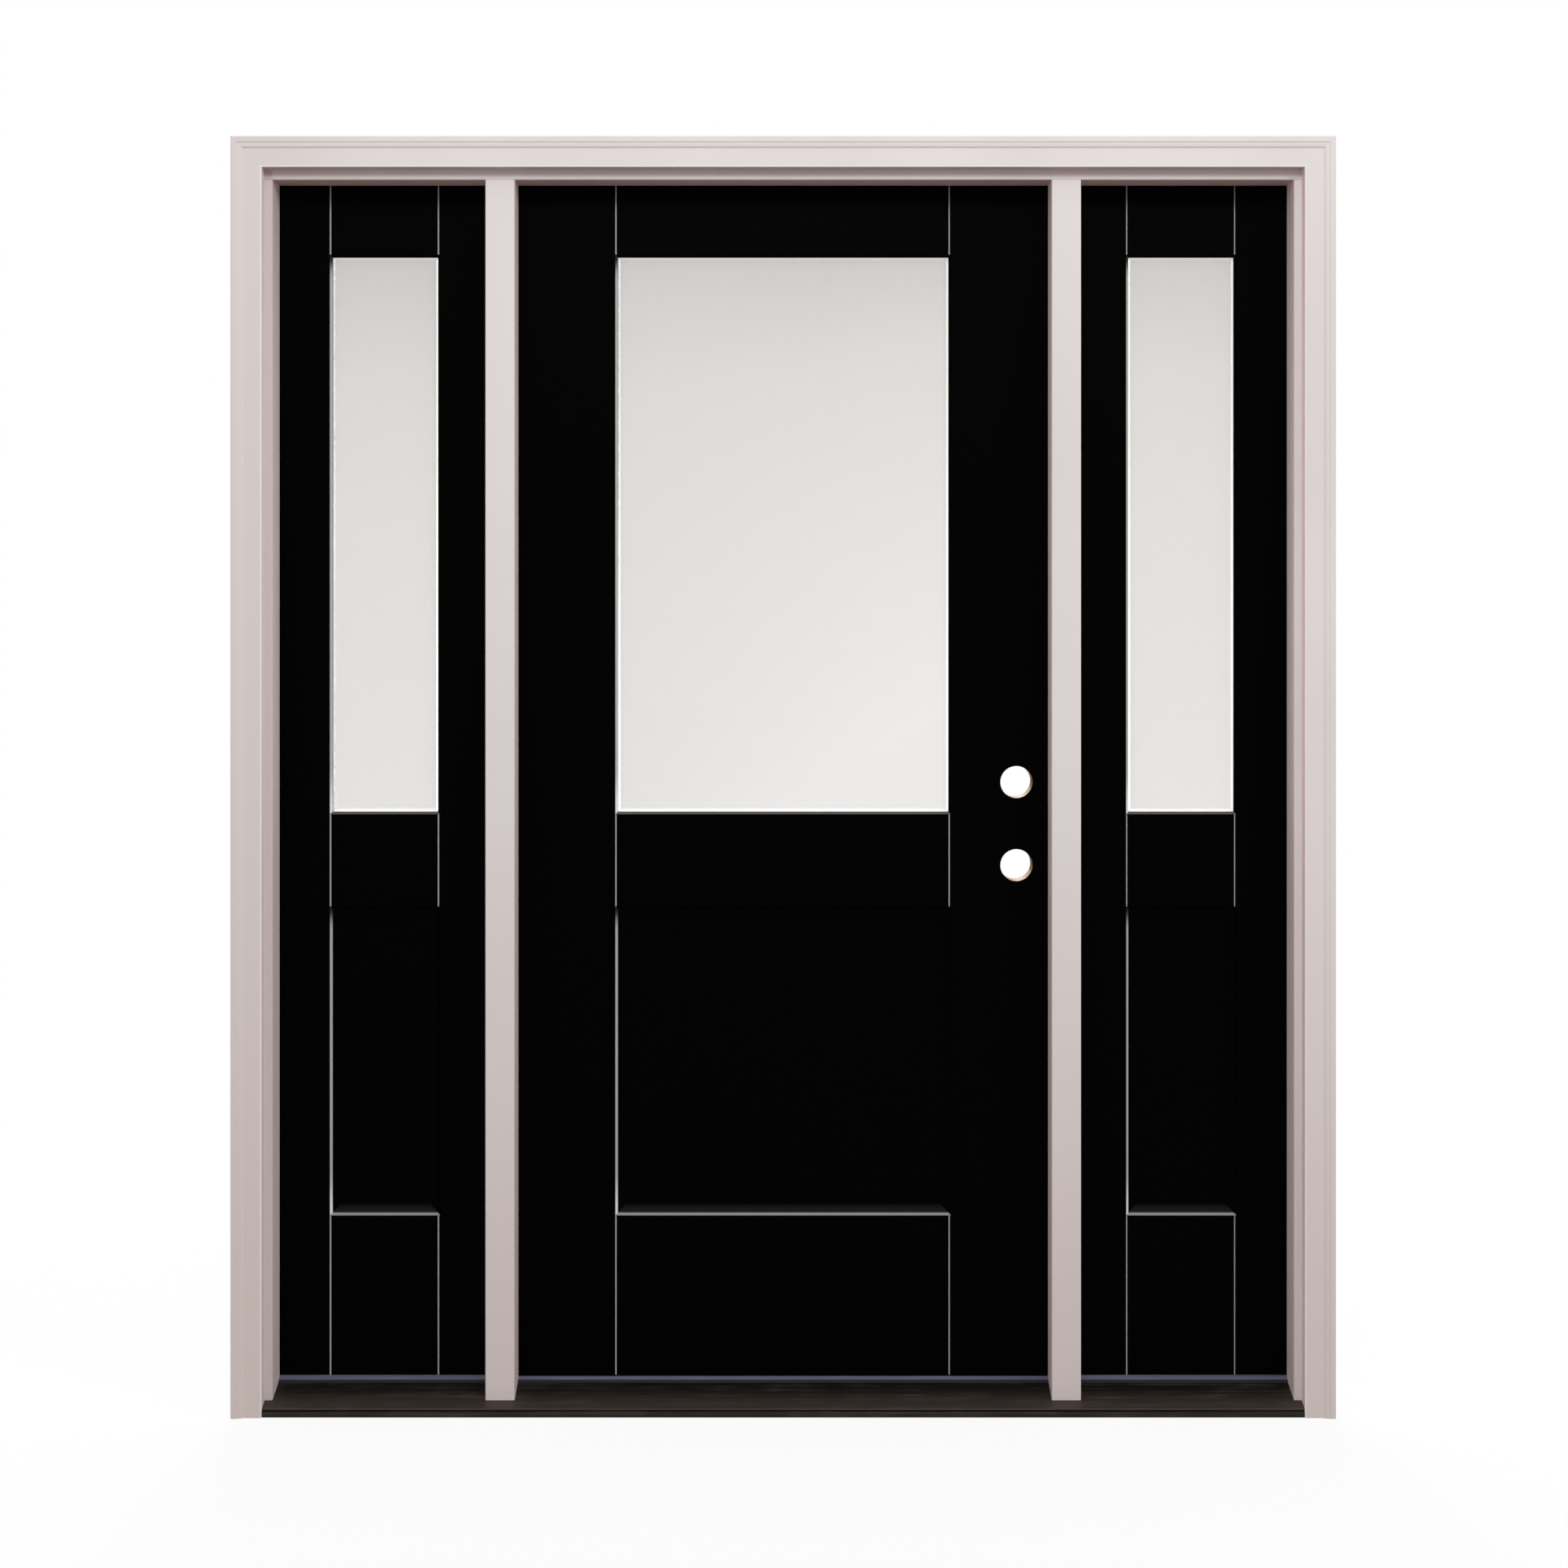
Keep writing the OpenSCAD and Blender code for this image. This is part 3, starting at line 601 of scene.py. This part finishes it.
@dataclass(frozen=True)
class SatinGlass(Finish):
    """Pale etched glass that lets a little under half of the light through.

    It has a clear margin. Painted shade makes it greyer towards its head,
    and painted light makes it a little lighter towards the right.
    """

    middle_x: float
    half_w: float
    low_z: float = 0.9906
    high_z: float = 1.9236
    margin: float = 0.0038
    margin_blur: float = 0.0003
    # Painted shade: the pane runs from grey at its head through upper and middle tones to pale at
    # its foot.
    painted_shade_head_tone: Colour = (209, 208, 207)
    upper_drop: float = 0.2
    upper_tone: Colour = (226, 225, 223)
    middle_drop: float = 0.45
    middle_tone: Colour = (234, 233, 231)
    foot_shading_tone: Colour = (250, 249, 249)
    # Painted light: a little lighter towards the right.
    painted_light_lean: float = 0.25
    body: float = 0.6
    margin_body: float = 0.05
    etching: Pattern = Pattern((1500.0, 1500.0, 1500.0), 1.0)
    streaks: Pattern = Pattern((3.0, 3.0, 1.2), 1.0)
    streak_share: float = 0.08
    roughness: float = 0.55
    relief: Relief = Relief(0.00005, 0.3)
    specular: float = 0.3

    def shade(self, graph: Graph) -> Wire:
        """Builds the shader, whose painted shade runs down the pane and leans lighter to the
        right.

        Args:
            graph: The material's tree.

        Returns:
            The whole surface.
        """
        across, _, height = graph.split(graph.place())
        etching = graph.noise(self.etching)
        streaks = graph.noise(self.streaks)
        from_middle = (across - self.middle_x) * (1 / self.half_w)
        # Painted shade down the pane, leaning lighter to the right as painted light.
        drop = 1 - height.share(self.low_z, self.high_z) + (streaks - 0.5) * self.streak_share
        colour = graph.fade(drop + drop * from_middle * self.painted_light_lean, {
            0.0: self.painted_shade_head_tone, self.upper_drop: self.upper_tone,
            self.middle_drop: self.middle_tone, 1.0: self.foot_shading_tone})
        etched = abs(across - self.middle_x).below(self.half_w - self.margin, self.margin_blur)
        etched = etched * height.between(self.low_z + self.margin, self.high_z - self.margin,
                                         self.margin_blur)
        return graph.principled(
            Base_Color=colour,
            Roughness=self.roughness,
            Alpha=self.margin_body + (self.body - self.margin_body) * etched,
            Normal=graph.bump(etching, self.relief),
            Specular_IOR_Level=self.specular)


@dataclass(frozen=True)
class WhiteSpacer(Finish):
    """White spacer bar between the panes, with painted shade at the head of its uprights and a
    painted glow.
    """

    tone: Colour = (252, 252, 251)
    # Painted shade: greyer towards the head of the uprights.
    painted_shade_head_tone: Colour = (238, 237, 235)
    head_z: Span = (1.3, 1.88)
    bar_z: Span = (1.9215, 1.9225)
    # Painted light: the bar glows with its own colour, though it is no lamp.
    glow: float = 0.45
    knurl: Pattern = Pattern((1200.0, 1200.0, 1200.0), 1.0)
    roughness: float = 0.6
    relief: Relief = Relief(0.00008, 0.3)

    def shade(self, graph: Graph) -> Wire:
        """Builds the shader.

        Args:
            graph: The material's tree.

        Returns:
            The whole surface.
        """
        knurl = graph.noise(self.knurl)
        _, _, height = graph.split(graph.place())
        # Painted shade towards the head of the uprights, but not on the head bar.
        greyer = height.ramp(*self.head_z) * (1 - height.ramp(*self.bar_z))
        colour = graph.blend(greyer, self.tone, self.painted_shade_head_tone)
        return graph.principled(
            Base_Color=colour,
            Roughness=self.roughness,
            # Painted glow.
            Emission_Color=colour,
            Emission_Strength=self.glow,
            Normal=graph.bump(knurl, self.relief))


@dataclass(frozen=True)
class BronzeDeck(Finish):
    """Dark bronze anodised sill deck with drawn lines along it and a little dust.

    Painted shade darkens its back under the cap and its front lip, and a painted shadow
    darkens its groove and its foot.
    """

    # Painted shade: darker towards the back, under the cap.
    front_tone: Colour = (66, 58, 53)
    painted_shade_back_tone: Colour = (20, 15, 14)
    deck_y: Span = (-0.02, 0.045)
    # Painted shade on the front lip, which faces away from the light above.
    lip_tone: Colour = (32, 27, 25)
    lip_facing: Span = (0.6, 0.3)
    # Painted shadow in the nose's groove and along its foot.
    painted_shadow_groove_tone: Colour = (4, 3, 3)
    groove_z: Span = (0.0104, 0.0132)
    groove_blur: float = 0.0003
    foot_z: Span = (0.008, 0.0)
    lines: Pattern = Pattern((2.5, 420.0, 420.0), 3.0)
    line_dust: float = 1.6
    patches: Pattern = Pattern((16.0, 50.0, 50.0), 4.0)
    patch_level: float = 0.42
    patch_dust: float = 0.5
    dust_levels: Span = (0.0, 0.35)
    dust_share: float = 0.4
    dust_tone: Colour = (92, 85, 80)
    metallic: float = 0.35
    roughness: float = 0.5
    dull_levels: Span = (0.0, 0.3)
    dull_share: float = 0.2
    relief: Relief = Relief(0.0001, 0.4)
    specular: float = 0.25

    def shade(self, graph: Graph) -> Wire:
        """Builds the shader: the deck, its lip and grooves, and dust on them.

        Args:
            graph: The material's tree.

        Returns:
            The whole surface.
        """
        lines = graph.noise(self.lines)
        patches = graph.noise(self.patches)
        dust = (lines - 0.5) * self.line_dust * patches + (
            patches - self.patch_level) * self.patch_dust
        _, inwards, height = graph.split(graph.place())
        _, _, up = graph.facing()
        # Painted shade towards the back, under the cap.
        metal = graph.blend(inwards.ramp(*self.deck_y), self.front_tone, self.painted_shade_back_tone)
        # Painted shade on faces that don't face up.
        metal = graph.blend(up.ramp(*self.lip_facing), metal, self.lip_tone)
        # Painted shadow in the groove and at the foot.
        dark = height.between(*self.groove_z, self.groove_blur) + height.ramp(*self.foot_z)
        metal = graph.blend(dark, metal, self.painted_shadow_groove_tone)
        dusty = dust.ramp(*self.dust_levels) * self.dust_share
        return graph.principled(
            Base_Color=graph.blend(dusty, metal, self.dust_tone),
            Metallic=self.metallic,
            Roughness=self.roughness + dust.ramp(*self.dull_levels) * self.dull_share,
            Normal=graph.bump(lines, self.relief),
            Specular_IOR_Level=self.specular)


@dataclass(frozen=True)
class ThresholdGrey(Finish):
    """Blue-grey vinyl-faced cap of the threshold, with a dark toe on the deck."""

    tone: Colour = (84, 90, 108)
    scuffs: Pattern = Pattern((9.0, 240.0, 240.0), 4.0)
    scuff_levels: Span = (0.5, 0.75)
    scuff_tone: Colour = (102, 107, 124)
    toe_z: Span = (0.0399, 0.0391)
    toe_tone: Colour = (24, 19, 18)
    roughness: float = 0.5
    roughness_swing: float = 0.2
    relief: Relief = Relief(0.0001, 0.3)

    def shade(self, graph: Graph) -> Wire:
        """Builds the shader.

        Args:
            graph: The material's tree.

        Returns:
            The whole surface.
        """
        scuffs = graph.noise(self.scuffs)
        _, _, height = graph.split(graph.place())
        vinyl = graph.blend(scuffs.ramp(*self.scuff_levels), self.tone, self.scuff_tone)
        return graph.principled(
            Base_Color=graph.blend(height.ramp(*self.toe_z), vinyl, self.toe_tone),
            Roughness=scuffs.sway(self.roughness, self.roughness_swing),
            Normal=graph.bump(scuffs, self.relief))


@dataclass(frozen=True)
class SillComposite(Finish):
    """Grey-brown composite under the deck, with flecks of wood flour."""

    tone: Colour = (104, 92, 82)
    flecks: Pattern = Pattern((160.0, 500.0, 500.0), 3.0)
    fleck_levels: Span = (0.5, 0.7)
    fleck_tone: Colour = (138, 122, 104)
    roughness: float = 0.8
    relief: Relief = Relief(0.0002, 0.5)

    def shade(self, graph: Graph) -> Wire:
        """Builds the shader.

        Args:
            graph: The material's tree.

        Returns:
            The whole surface.
        """
        flecks = graph.noise(self.flecks)
        return graph.principled(
            Base_Color=graph.blend(flecks.ramp(*self.fleck_levels), self.tone, self.fleck_tone),
            Roughness=self.roughness,
            Normal=graph.bump(flecks, self.relief))


@dataclass(frozen=True)
class SoftSeal(Finish):
    """Matt flexible seal."""

    tone: Colour
    pore_tone: Colour
    specular: float = 0.2
    pores: Pattern = Pattern((1100.0, 1100.0, 300.0))
    pore_levels: Span = (0.4, 0.7)
    roughness: float = 0.75
    relief: Relief = Relief(0.0001, 0.4)

    def shade(self, graph: Graph) -> Wire:
        """Builds the shader.

        Args:
            graph: The material's tree.

        Returns:
            The whole surface.
        """
        pores = graph.noise(self.pores)
        return graph.principled(
            Base_Color=graph.blend(pores.ramp(*self.pore_levels), self.tone, self.pore_tone),
            Roughness=self.roughness,
            Normal=graph.bump(pores, self.relief),
            Specular_IOR_Level=self.specular)


@dataclass(frozen=True)
class BrushedNickel(Finish):
    """Satin nickel with upright brush marks."""

    tone: Colour = (196, 192, 186)
    brushing: Pattern = Pattern((2600.0, 2600.0, 60.0))
    metallic: float = 1.0
    roughness: float = 0.3
    roughness_swing: float = 0.2
    relief: Relief = Relief(0.00003, 0.5)

    def shade(self, graph: Graph) -> Wire:
        """Builds the shader.

        Args:
            graph: The material's tree.

        Returns:
            The whole surface.
        """
        brushing = graph.noise(self.brushing)
        return graph.principled(
            Base_Color=linear(self.tone),
            Metallic=self.metallic,
            Roughness=brushing.sway(self.roughness, self.roughness_swing),
            Normal=graph.bump(brushing, self.relief))


@dataclass(frozen=True)
class Finishes:
    """Every finish of the unit."""

    upright: PrimedPaint = PrimedPaint("primed_uprights", grain=Grain.UPRIGHT)
    # The heads' reveals are painted darker as shade on their undersides, and their edge highlight
    # is painted brighter.
    across: PrimedPaint = PrimedPaint("primed_heads", grain=Grain.ACROSS,
                                      painted_reveal_shading_tone=(200, 174, 171), painted_highlight_edge_tone=(255, 253, 252))
    skin: BlackSkin = BlackSkin("black_skin")
    timber: Timber = Timber("stile_timber")
    foam: FoamCore = FoamCore("foam_core")
    clear: ClearGlass = ClearGlass("clear_glass")
    door_satin: SatinGlass = SatinGlass("door_satin_glass", middle_x=0.0, half_w=0.27825)
    left_satin: SatinGlass = SatinGlass("left_satin_glass", middle_x=-0.6696, half_w=0.08875,
                                        foot_shading_tone=(246, 245, 244), painted_light_lean=0.04)
    right_satin: SatinGlass = SatinGlass("right_satin_glass", middle_x=0.6696, half_w=0.08875,
                                         foot_shading_tone=(246, 245, 244), painted_light_lean=0.04)
    spacer: WhiteSpacer = WhiteSpacer("white_spacer")
    deck: BronzeDeck = BronzeDeck("bronze_deck")
    cap: ThresholdGrey = ThresholdGrey("threshold_grey")
    composite: SillComposite = SillComposite("sill_composite")
    strip: SoftSeal = SoftSeal("seal_foam", tone=(58, 48, 42), pore_tone=(46, 38, 33))
    sweep: SoftSeal = SoftSeal("sweep_rubber", tone=(26, 25, 24), pore_tone=(36, 35, 34),
                               specular=0.4)
    nickel: BrushedNickel = BrushedNickel("hinge_nickel")


class Side(Enum):
    """A side of the unit, seen from outside."""

    LEFT = "left"
    RIGHT = "right"


@dataclass(frozen=True)
class OuterFrame:
    """Jambs, posts, head and brickmould."""

    uprights: tuple[str, ...] = ("left_jamb", "right_jamb", "hinge_post", "strike_post",
                                 "left_brickmould", "right_brickmould")
    heads: tuple[str, ...] = ("head_jamb", "head_brickmould")
    strips: tuple[str, ...] = ("hinge_side_weatherstrip", "strike_side_weatherstrip",
                               "head_weatherstrip", "left_sidelight_seal", "right_sidelight_seal")

    def dress(self, nodes: Nodes, finishes: Finishes) -> None:
        """Paints the timber and colours the seals.

        Args:
            nodes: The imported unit's nodes by name.
            finishes: Every finish of the unit.
        """
        finishes.upright.dress(nodes, *self.uprights)
        finishes.across.dress(nodes, *self.heads)
        finishes.strip.dress(nodes, *self.strips)


@dataclass(frozen=True)
class Sill:
    """Sill base, its metal deck and the three threshold caps."""

    caps: tuple[str, ...] = ("door_threshold_cap", "left_threshold_cap", "right_threshold_cap")

    def dress(self, nodes: Nodes, finishes: Finishes) -> None:
        """Finishes the sill.

        Args:
            nodes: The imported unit's nodes by name.
            finishes: Every finish of the unit.
        """
        finishes.composite.dress(nodes, "sill_base")
        finishes.deck.dress(nodes, "sill_deck")
        finishes.cap.dress(nodes, *self.caps)


@dataclass(frozen=True)
class Sidelight:
    """One fixed sidelight panel."""

    side: Side

    def dress(self, nodes: Nodes, finishes: Finishes) -> None:
        """Finishes the panel's skins, core and glazing.

        Args:
            nodes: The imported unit's nodes by name.
            finishes: Every finish of the unit.
        """
        name = f"{self.side.value}_sidelight_"
        finishes.skin.dress(nodes, name + "exterior_skin", name + "interior_skin")
        finishes.foam.dress(nodes, name + "core")
        satin = finishes.left_satin if self.side is Side.LEFT else finishes.right_satin
        satin.dress(nodes, name + "outer_glass")
        finishes.clear.dress(nodes, name + "inner_glass")
        finishes.spacer.dress(nodes, name + "spacer")


@dataclass(frozen=True)
class DoorLeaf:
    """The swinging leaf."""

    timbers: tuple[str, ...] = ("door_hinge_stile", "door_lock_stile", "door_top_rail",
                                "door_foot_rail")

    def dress(self, nodes: Nodes, finishes: Finishes) -> None:
        """Finishes the leaf's skins, structure, glazing and sweep.

        Args:
            nodes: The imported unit's nodes by name.
            finishes: Every finish of the unit.
        """
        finishes.skin.dress(nodes, "door_exterior_skin", "door_interior_skin")
        finishes.timber.dress(nodes, *self.timbers)
        finishes.foam.dress(nodes, "door_foam_core")
        finishes.door_satin.dress(nodes, "door_outer_glass")
        finishes.clear.dress(nodes, "door_inner_glass")
        finishes.spacer.dress(nodes, "door_glass_spacer")
        finishes.sweep.dress(nodes, "door_sweep")


@dataclass(frozen=True)
class HingeScrews:
    """Countersunk screws in the hinge plates: a zigzag of four in each plate."""

    rows: int = 4
    row_pitch: float = 0.0254
    near_column: float = 0.012
    far_column: float = 0.026
    head_r: float = 0.0044
    head_sides: int = 24
    head_depth: float = 0.002
    proud: float = 0.0003
    recess_length: float = 0.0046
    recess_width: float = 0.0011
    recess_depth: float = 0.0014
    seed: int = 7

    def tree(self) -> bpy.types.NodeTree:
        """Builds the tree that lays screws out on a point at the foot of each plate.

        Returns:
            The tree, with its sizes, the way that the heads face and their finish as inputs.
        """
        tree = bpy.data.node_groups.new("hinge_screws", "GeometryNodeTree")
        kinds = {"Plates": "Geometry", "Rows": "Int", "Row Pitch": "Float", "Near Column": "Float",
                 "Far Column": "Float", "Head Radius": "Float", "Head Sides": "Int",
                 "Head Depth": "Float", "Proud": "Float", "Recess Length": "Float",
                 "Recess Width": "Float", "Recess Depth": "Float", "Facing": "Float",
                 "Seed": "Int", "Finish": "Material"}
        for name, kind in kinds.items():
            tree.interface.new_socket(name=name, in_out="INPUT", socket_type=f"NodeSocket{kind}")
        tree.interface.new_socket(name="Screws", in_out="OUTPUT", socket_type="NodeSocketGeometry")
        graph = Graph(tree)
        source = tree.nodes.new("NodeGroupInput")
        given = {name: Wire(tree, source.outputs[name]) for name in kinds}

        def vector(x: Term, y: Term, z: Term) -> Wire:
            """Joins three numbers."""
            return graph.add("ShaderNodeCombineXYZ", sockets={0: x, 1: y, 2: z})

        def bar(length: Wire, width: Wire) -> Wire:
            """One bar of the cross recess."""
            return graph.add("GeometryNodeMeshCube",
                             sockets={"Size": vector(length, width, given["Recess Depth"] * 2.0)})

        line = graph.add("GeometryNodeMeshLine", {"mode": "OFFSET"}, {
            "Count": given["Rows"],
            "Start Location": vector(0.0, given["Near Column"] * -1.0, given["Row Pitch"] * 0.5),
            "Offset": vector(0.0, 0.0, given["Row Pitch"])})
        odd = graph.add("ShaderNodeMath", {"operation": "MODULO"},
                        {0: graph.add("GeometryNodeInputIndex"), 1: 2.0})
        zigzag = graph.add("GeometryNodeSetPosition", sockets={
            "Geometry": line,
            "Offset": vector(0.0, (given["Near Column"] - given["Far Column"]) * odd, 0.0)})
        holes = graph.add("GeometryNodeRealizeInstances", sockets={
            0: graph.add("GeometryNodeInstanceOnPoints",
                         sockets={"Points": given["Plates"], "Instance": zigzag})})
        disc = graph.add("GeometryNodeMeshCylinder", {"fill_type": "NGON"}, {
            "Vertices": given["Head Sides"], "Radius": given["Head Radius"],
            "Depth": given["Head Depth"]})
        cross = graph.add("GeometryNodeMeshBoolean", {"operation": "UNION"}, {
            "Mesh 2": bar(given["Recess Length"], given["Recess Width"])})
        plug(tree, cross.socket.node.inputs["Mesh 2"],
             bar(given["Recess Width"], given["Recess Length"]))
        raised = graph.add("GeometryNodeTransform", sockets={
            "Geometry": cross, "Translation": vector(0.0, 0.0, given["Head Depth"] * 0.5)})
        cut = graph.add("GeometryNodeMeshBoolean", {"operation": "DIFFERENCE"},
                        {"Mesh 1": disc, "Mesh 2": raised})
        head = graph.add("GeometryNodeTransform", sockets={
            "Geometry": cut,
            "Translation": vector(0.0, 0.0, given["Proud"] - given["Head Depth"] * 0.5)})
        turn = graph.add("FunctionNodeRandomValue", {"data_type": "FLOAT"},
                         {2: 0.0, 3: math.pi / 2, "Seed": given["Seed"]}, 1)
        spun = graph.add("GeometryNodeRotateInstances", sockets={
            "Instances": graph.add("GeometryNodeInstanceOnPoints", sockets={
                "Points": holes, "Instance": head, "Rotation": vector(0.0, given["Facing"], 0.0)}),
            "Rotation": vector(0.0, 0.0, turn)})
        plain = graph.add("GeometryNodeRealizeInstances", sockets={0: spun})
        done = graph.add("GeometryNodeSetMaterial", sockets={"Geometry": plain,
                                                             "Material": given["Finish"]})
        graph.end("NodeGroupOutput", done)
        return tree

    def build(self, name: str, body: str, feet: Sequence[Point], facing: float,
              tree: bpy.types.NodeTree, finish: Finish) -> bpy.types.Object:
        """Makes the screws of one body's hinge plates.

        Args:
            name: Name of the new piece.
            body: The body that it rides on.
            feet: The foot of each plate, in line with the inner face.
            facing: Turn about Y that points the heads away from their plates, in radians.
            tree: The tree from the method above.
            finish: What the screws are made of.

        Returns:
            The piece, as a plain mesh.
        """
        points = bpy.data.meshes.new(name + "_points")
        points.from_pydata([tuple(p) for p in feet], [], [])
        carrier = bpy.data.objects.new(name + "_points", points)
        bpy.context.scene.collection.objects.link(carrier)
        modifier = carrier.modifiers.new("screws", "NODES")
        modifier.node_group = tree
        values = {"Rows": self.rows, "Row Pitch": self.row_pitch, "Near Column": self.near_column,
                  "Far Column": self.far_column, "Head Radius": self.head_r,
                  "Head Sides": self.head_sides, "Head Depth": self.head_depth,
                  "Proud": self.proud,
                  "Recess Length": self.recess_length, "Recess Width": self.recess_width,
                  "Recess Depth": self.recess_depth, "Facing": facing, "Seed": self.seed,
                  "Finish": finish.material()}
        for item in tree.interface.items_tree:
            if item.name in values:
                modifier[item.identifier] = values[item.name]
        evaluated = carrier.evaluated_get(bpy.context.evaluated_depsgraph_get())
        mesh = bpy.data.meshes.new_from_object(evaluated)
        mesh.name = name
        bpy.data.objects.remove(carrier)
        piece = bpy.data.objects.new(name, mesh)
        bpy.context.scene.collection.objects.link(piece)
        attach(piece, body)
        log.info("built %s: %d faces", name, len(mesh.polygons))
        return piece


@dataclass(frozen=True)
class HingeSet:
    """The three hinges and their screws."""

    metal: tuple[str, ...] = ("hinge_frame_leaves", "hinge_door_leaves", "hinge_pins")
    lows: tuple[float, ...] = (0.324, 1.0475, 1.771)
    post_face_x: float = -0.4575
    leaf_face_x: float = -0.4525
    inner_y: float = 0.116
    screws: HingeScrews = field(default_factory=HingeScrews)

    def dress(self, nodes: Nodes, finishes: Finishes) -> None:
        """Finishes the hinges and adds the screws of both halves.

        Args:
            nodes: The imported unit's nodes by name.
            finishes: Every finish of the unit.
        """
        finishes.nickel.dress(nodes, *self.metal)
        tree = self.screws.tree()
        for name, body, x, facing in (
                ("post_hinge_screws", "frame", self.post_face_x, math.pi / 2),
                ("leaf_hinge_screws", "door", self.leaf_face_x, -math.pi / 2)):
            feet = [(x, self.inner_y, low) for low in self.lows]
            self.screws.build(name, body, feet, facing, tree, finishes.nickel)


@dataclass(frozen=True)
class Lamp:
    """A soft rectangular lamp."""

    name: str
    place: Point
    aim: Point
    size: Span
    watts: float
    spread: float = 180.0

    def build(self) -> None:
        """Hangs the lamp and points it at its aim."""
        data = bpy.data.lights.new(self.name, "AREA")
        data.shape = "RECTANGLE"
        data.size, data.size_y = self.size
        data.energy = self.watts
        data.spread = math.radians(self.spread)
        lamp = bpy.data.objects.new(self.name, data)
        lamp.location = self.place
        way = Vector(self.aim) - Vector(self.place)
        lamp.rotation_euler = way.to_track_quat("-Z", "Y").to_euler()
        bpy.context.scene.collection.objects.link(lamp)


@dataclass(frozen=True)
class Studio:
    """Plain pale floor, white surroundings, soft lamps and the camera."""

    floor_half: float = 30.0
    floor_drop: float = 0.001
    floor_tone: Colour = (248, 248, 248)
    bounce_tone: Colour = (172, 164, 161)
    floor_glow: float = 0.9
    floor_fade: Span = (1.2, 3.2)
    ambient: float = 0.64
    camera_place: Point = (0.0, -4.5885, 1.337)
    focal_px: float = 3414.0
    centre_px: Span = (965.0, 746.6)
    sensor_mm: float = 36.0
    lamps: tuple[Lamp, ...] = (
        Lamp("key", place=(0.0, -6.0, 4.9), aim=(0.0, 0.0, 2.4), size=(2.4, 1.8),
             watts=56.0, spread=100.0),
        Lamp("side", place=(5.4, -5.5, 4.6), aim=(0.0, 0.0, 1.8), size=(2.8, 2.8),
             watts=49.0, spread=120.0),
        Lamp("back", place=(-0.4, 6.0, 4.6), aim=(0.0, 0.1, 1.8), size=(3.0, 2.0), watts=260.0),
    )

    def seen_directly(self, graph: Graph) -> Wire:
        """Is 1 for the camera's rays and for what mirrors and glass show."""
        rays = [graph.add("ShaderNodeLightPath", out=f"Is {kind} Ray")
                for kind in ("Camera", "Glossy", "Transmission")]
        return (rays[0] + rays[1] + rays[2]).ramp(0.0, 1.0)

    def build_world(self) -> None:
        """Makes the white surroundings, which light the object more softly than they look."""
        world = bpy.data.worlds.new("studio")
        world.use_nodes = True
        world.node_tree.nodes.clear()
        graph = Graph(world.node_tree)
        strength = self.ambient + (1.0 - self.ambient) * self.seen_directly(graph)
        glow = graph.add("ShaderNodeBackground", sockets={"Color": WHITE, "Strength": strength})
        graph.end("ShaderNodeOutputWorld", glow)
        bpy.context.scene.world = world

    def build_floor(self) -> None:
        """Lays the floor, which fades into the white surroundings away from the unit."""
        h, z = self.floor_half, -self.floor_drop
        mesh = bpy.data.meshes.new("floor")
        mesh.from_pydata([(-h, -h, z), (h, -h, z), (h, h, z), (-h, h, z)], [], [(0, 1, 2, 3)])
        floor = bpy.data.objects.new("floor", mesh)
        bpy.context.scene.collection.objects.link(floor)
        material = bpy.data.materials.new("floor")
        material.use_nodes = True
        material.node_tree.nodes.clear()
        graph = Graph(material.node_tree)
        seen = self.seen_directly(graph)
        paper = graph.add("ShaderNodeBsdfDiffuse", sockets={
            "Color": graph.blend(seen, self.bounce_tone, self.floor_tone)})
        glow = graph.add("ShaderNodeEmission", sockets={"Color": WHITE})
        distance = graph.add("ShaderNodeVectorMath", {"operation": "LENGTH"},
                             {0: graph.place()}, "Value")
        fade = distance.ramp(*self.floor_fade)
        far = (self.floor_glow + (1 - self.floor_glow) * fade) * seen
        graph.end("ShaderNodeOutputMaterial", graph.choose(far, paper, glow))
        mesh.materials.append(material)

    def build_camera(self) -> None:
        """Sets the camera up square to the unit, with its view shifted down."""
        data = bpy.data.cameras.new("camera")
        data.sensor_width = self.sensor_mm
        data.lens = self.focal_px / IMAGE_PX * self.sensor_mm
        across, down = self.centre_px
        data.shift_x = (IMAGE_PX / 2 - across) / IMAGE_PX
        data.shift_y = (down - IMAGE_PX / 2) / IMAGE_PX
        camera = bpy.data.objects.new("camera", data)
        camera.location = self.camera_place
        camera.rotation_euler = (math.pi / 2, 0.0, 0.0)
        bpy.context.scene.collection.objects.link(camera)
        bpy.context.scene.camera = camera

    def build(self) -> None:
        """Builds all of the studio."""
        self.build_world()
        self.build_floor()
        self.build_camera()
        for lamp in self.lamps:
            lamp.build()
        bpy.context.scene.view_settings.view_transform = "Standard"
        log.info("studio is lit by %d lamps", len(self.lamps))


def main() -> None:
    """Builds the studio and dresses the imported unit."""
    logging.basicConfig(level=logging.INFO, format="%(message)s")
    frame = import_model()
    Studio().build()
    finishes = Finishes()
    nodes = frame["nodes"]
    for assembly in (OuterFrame(), Sill(), Sidelight(Side.LEFT), Sidelight(Side.RIGHT), DoorLeaf(),
                     HingeSet()):
        assembly.dress(nodes, finishes)


if __name__ == "__main__":
    main()
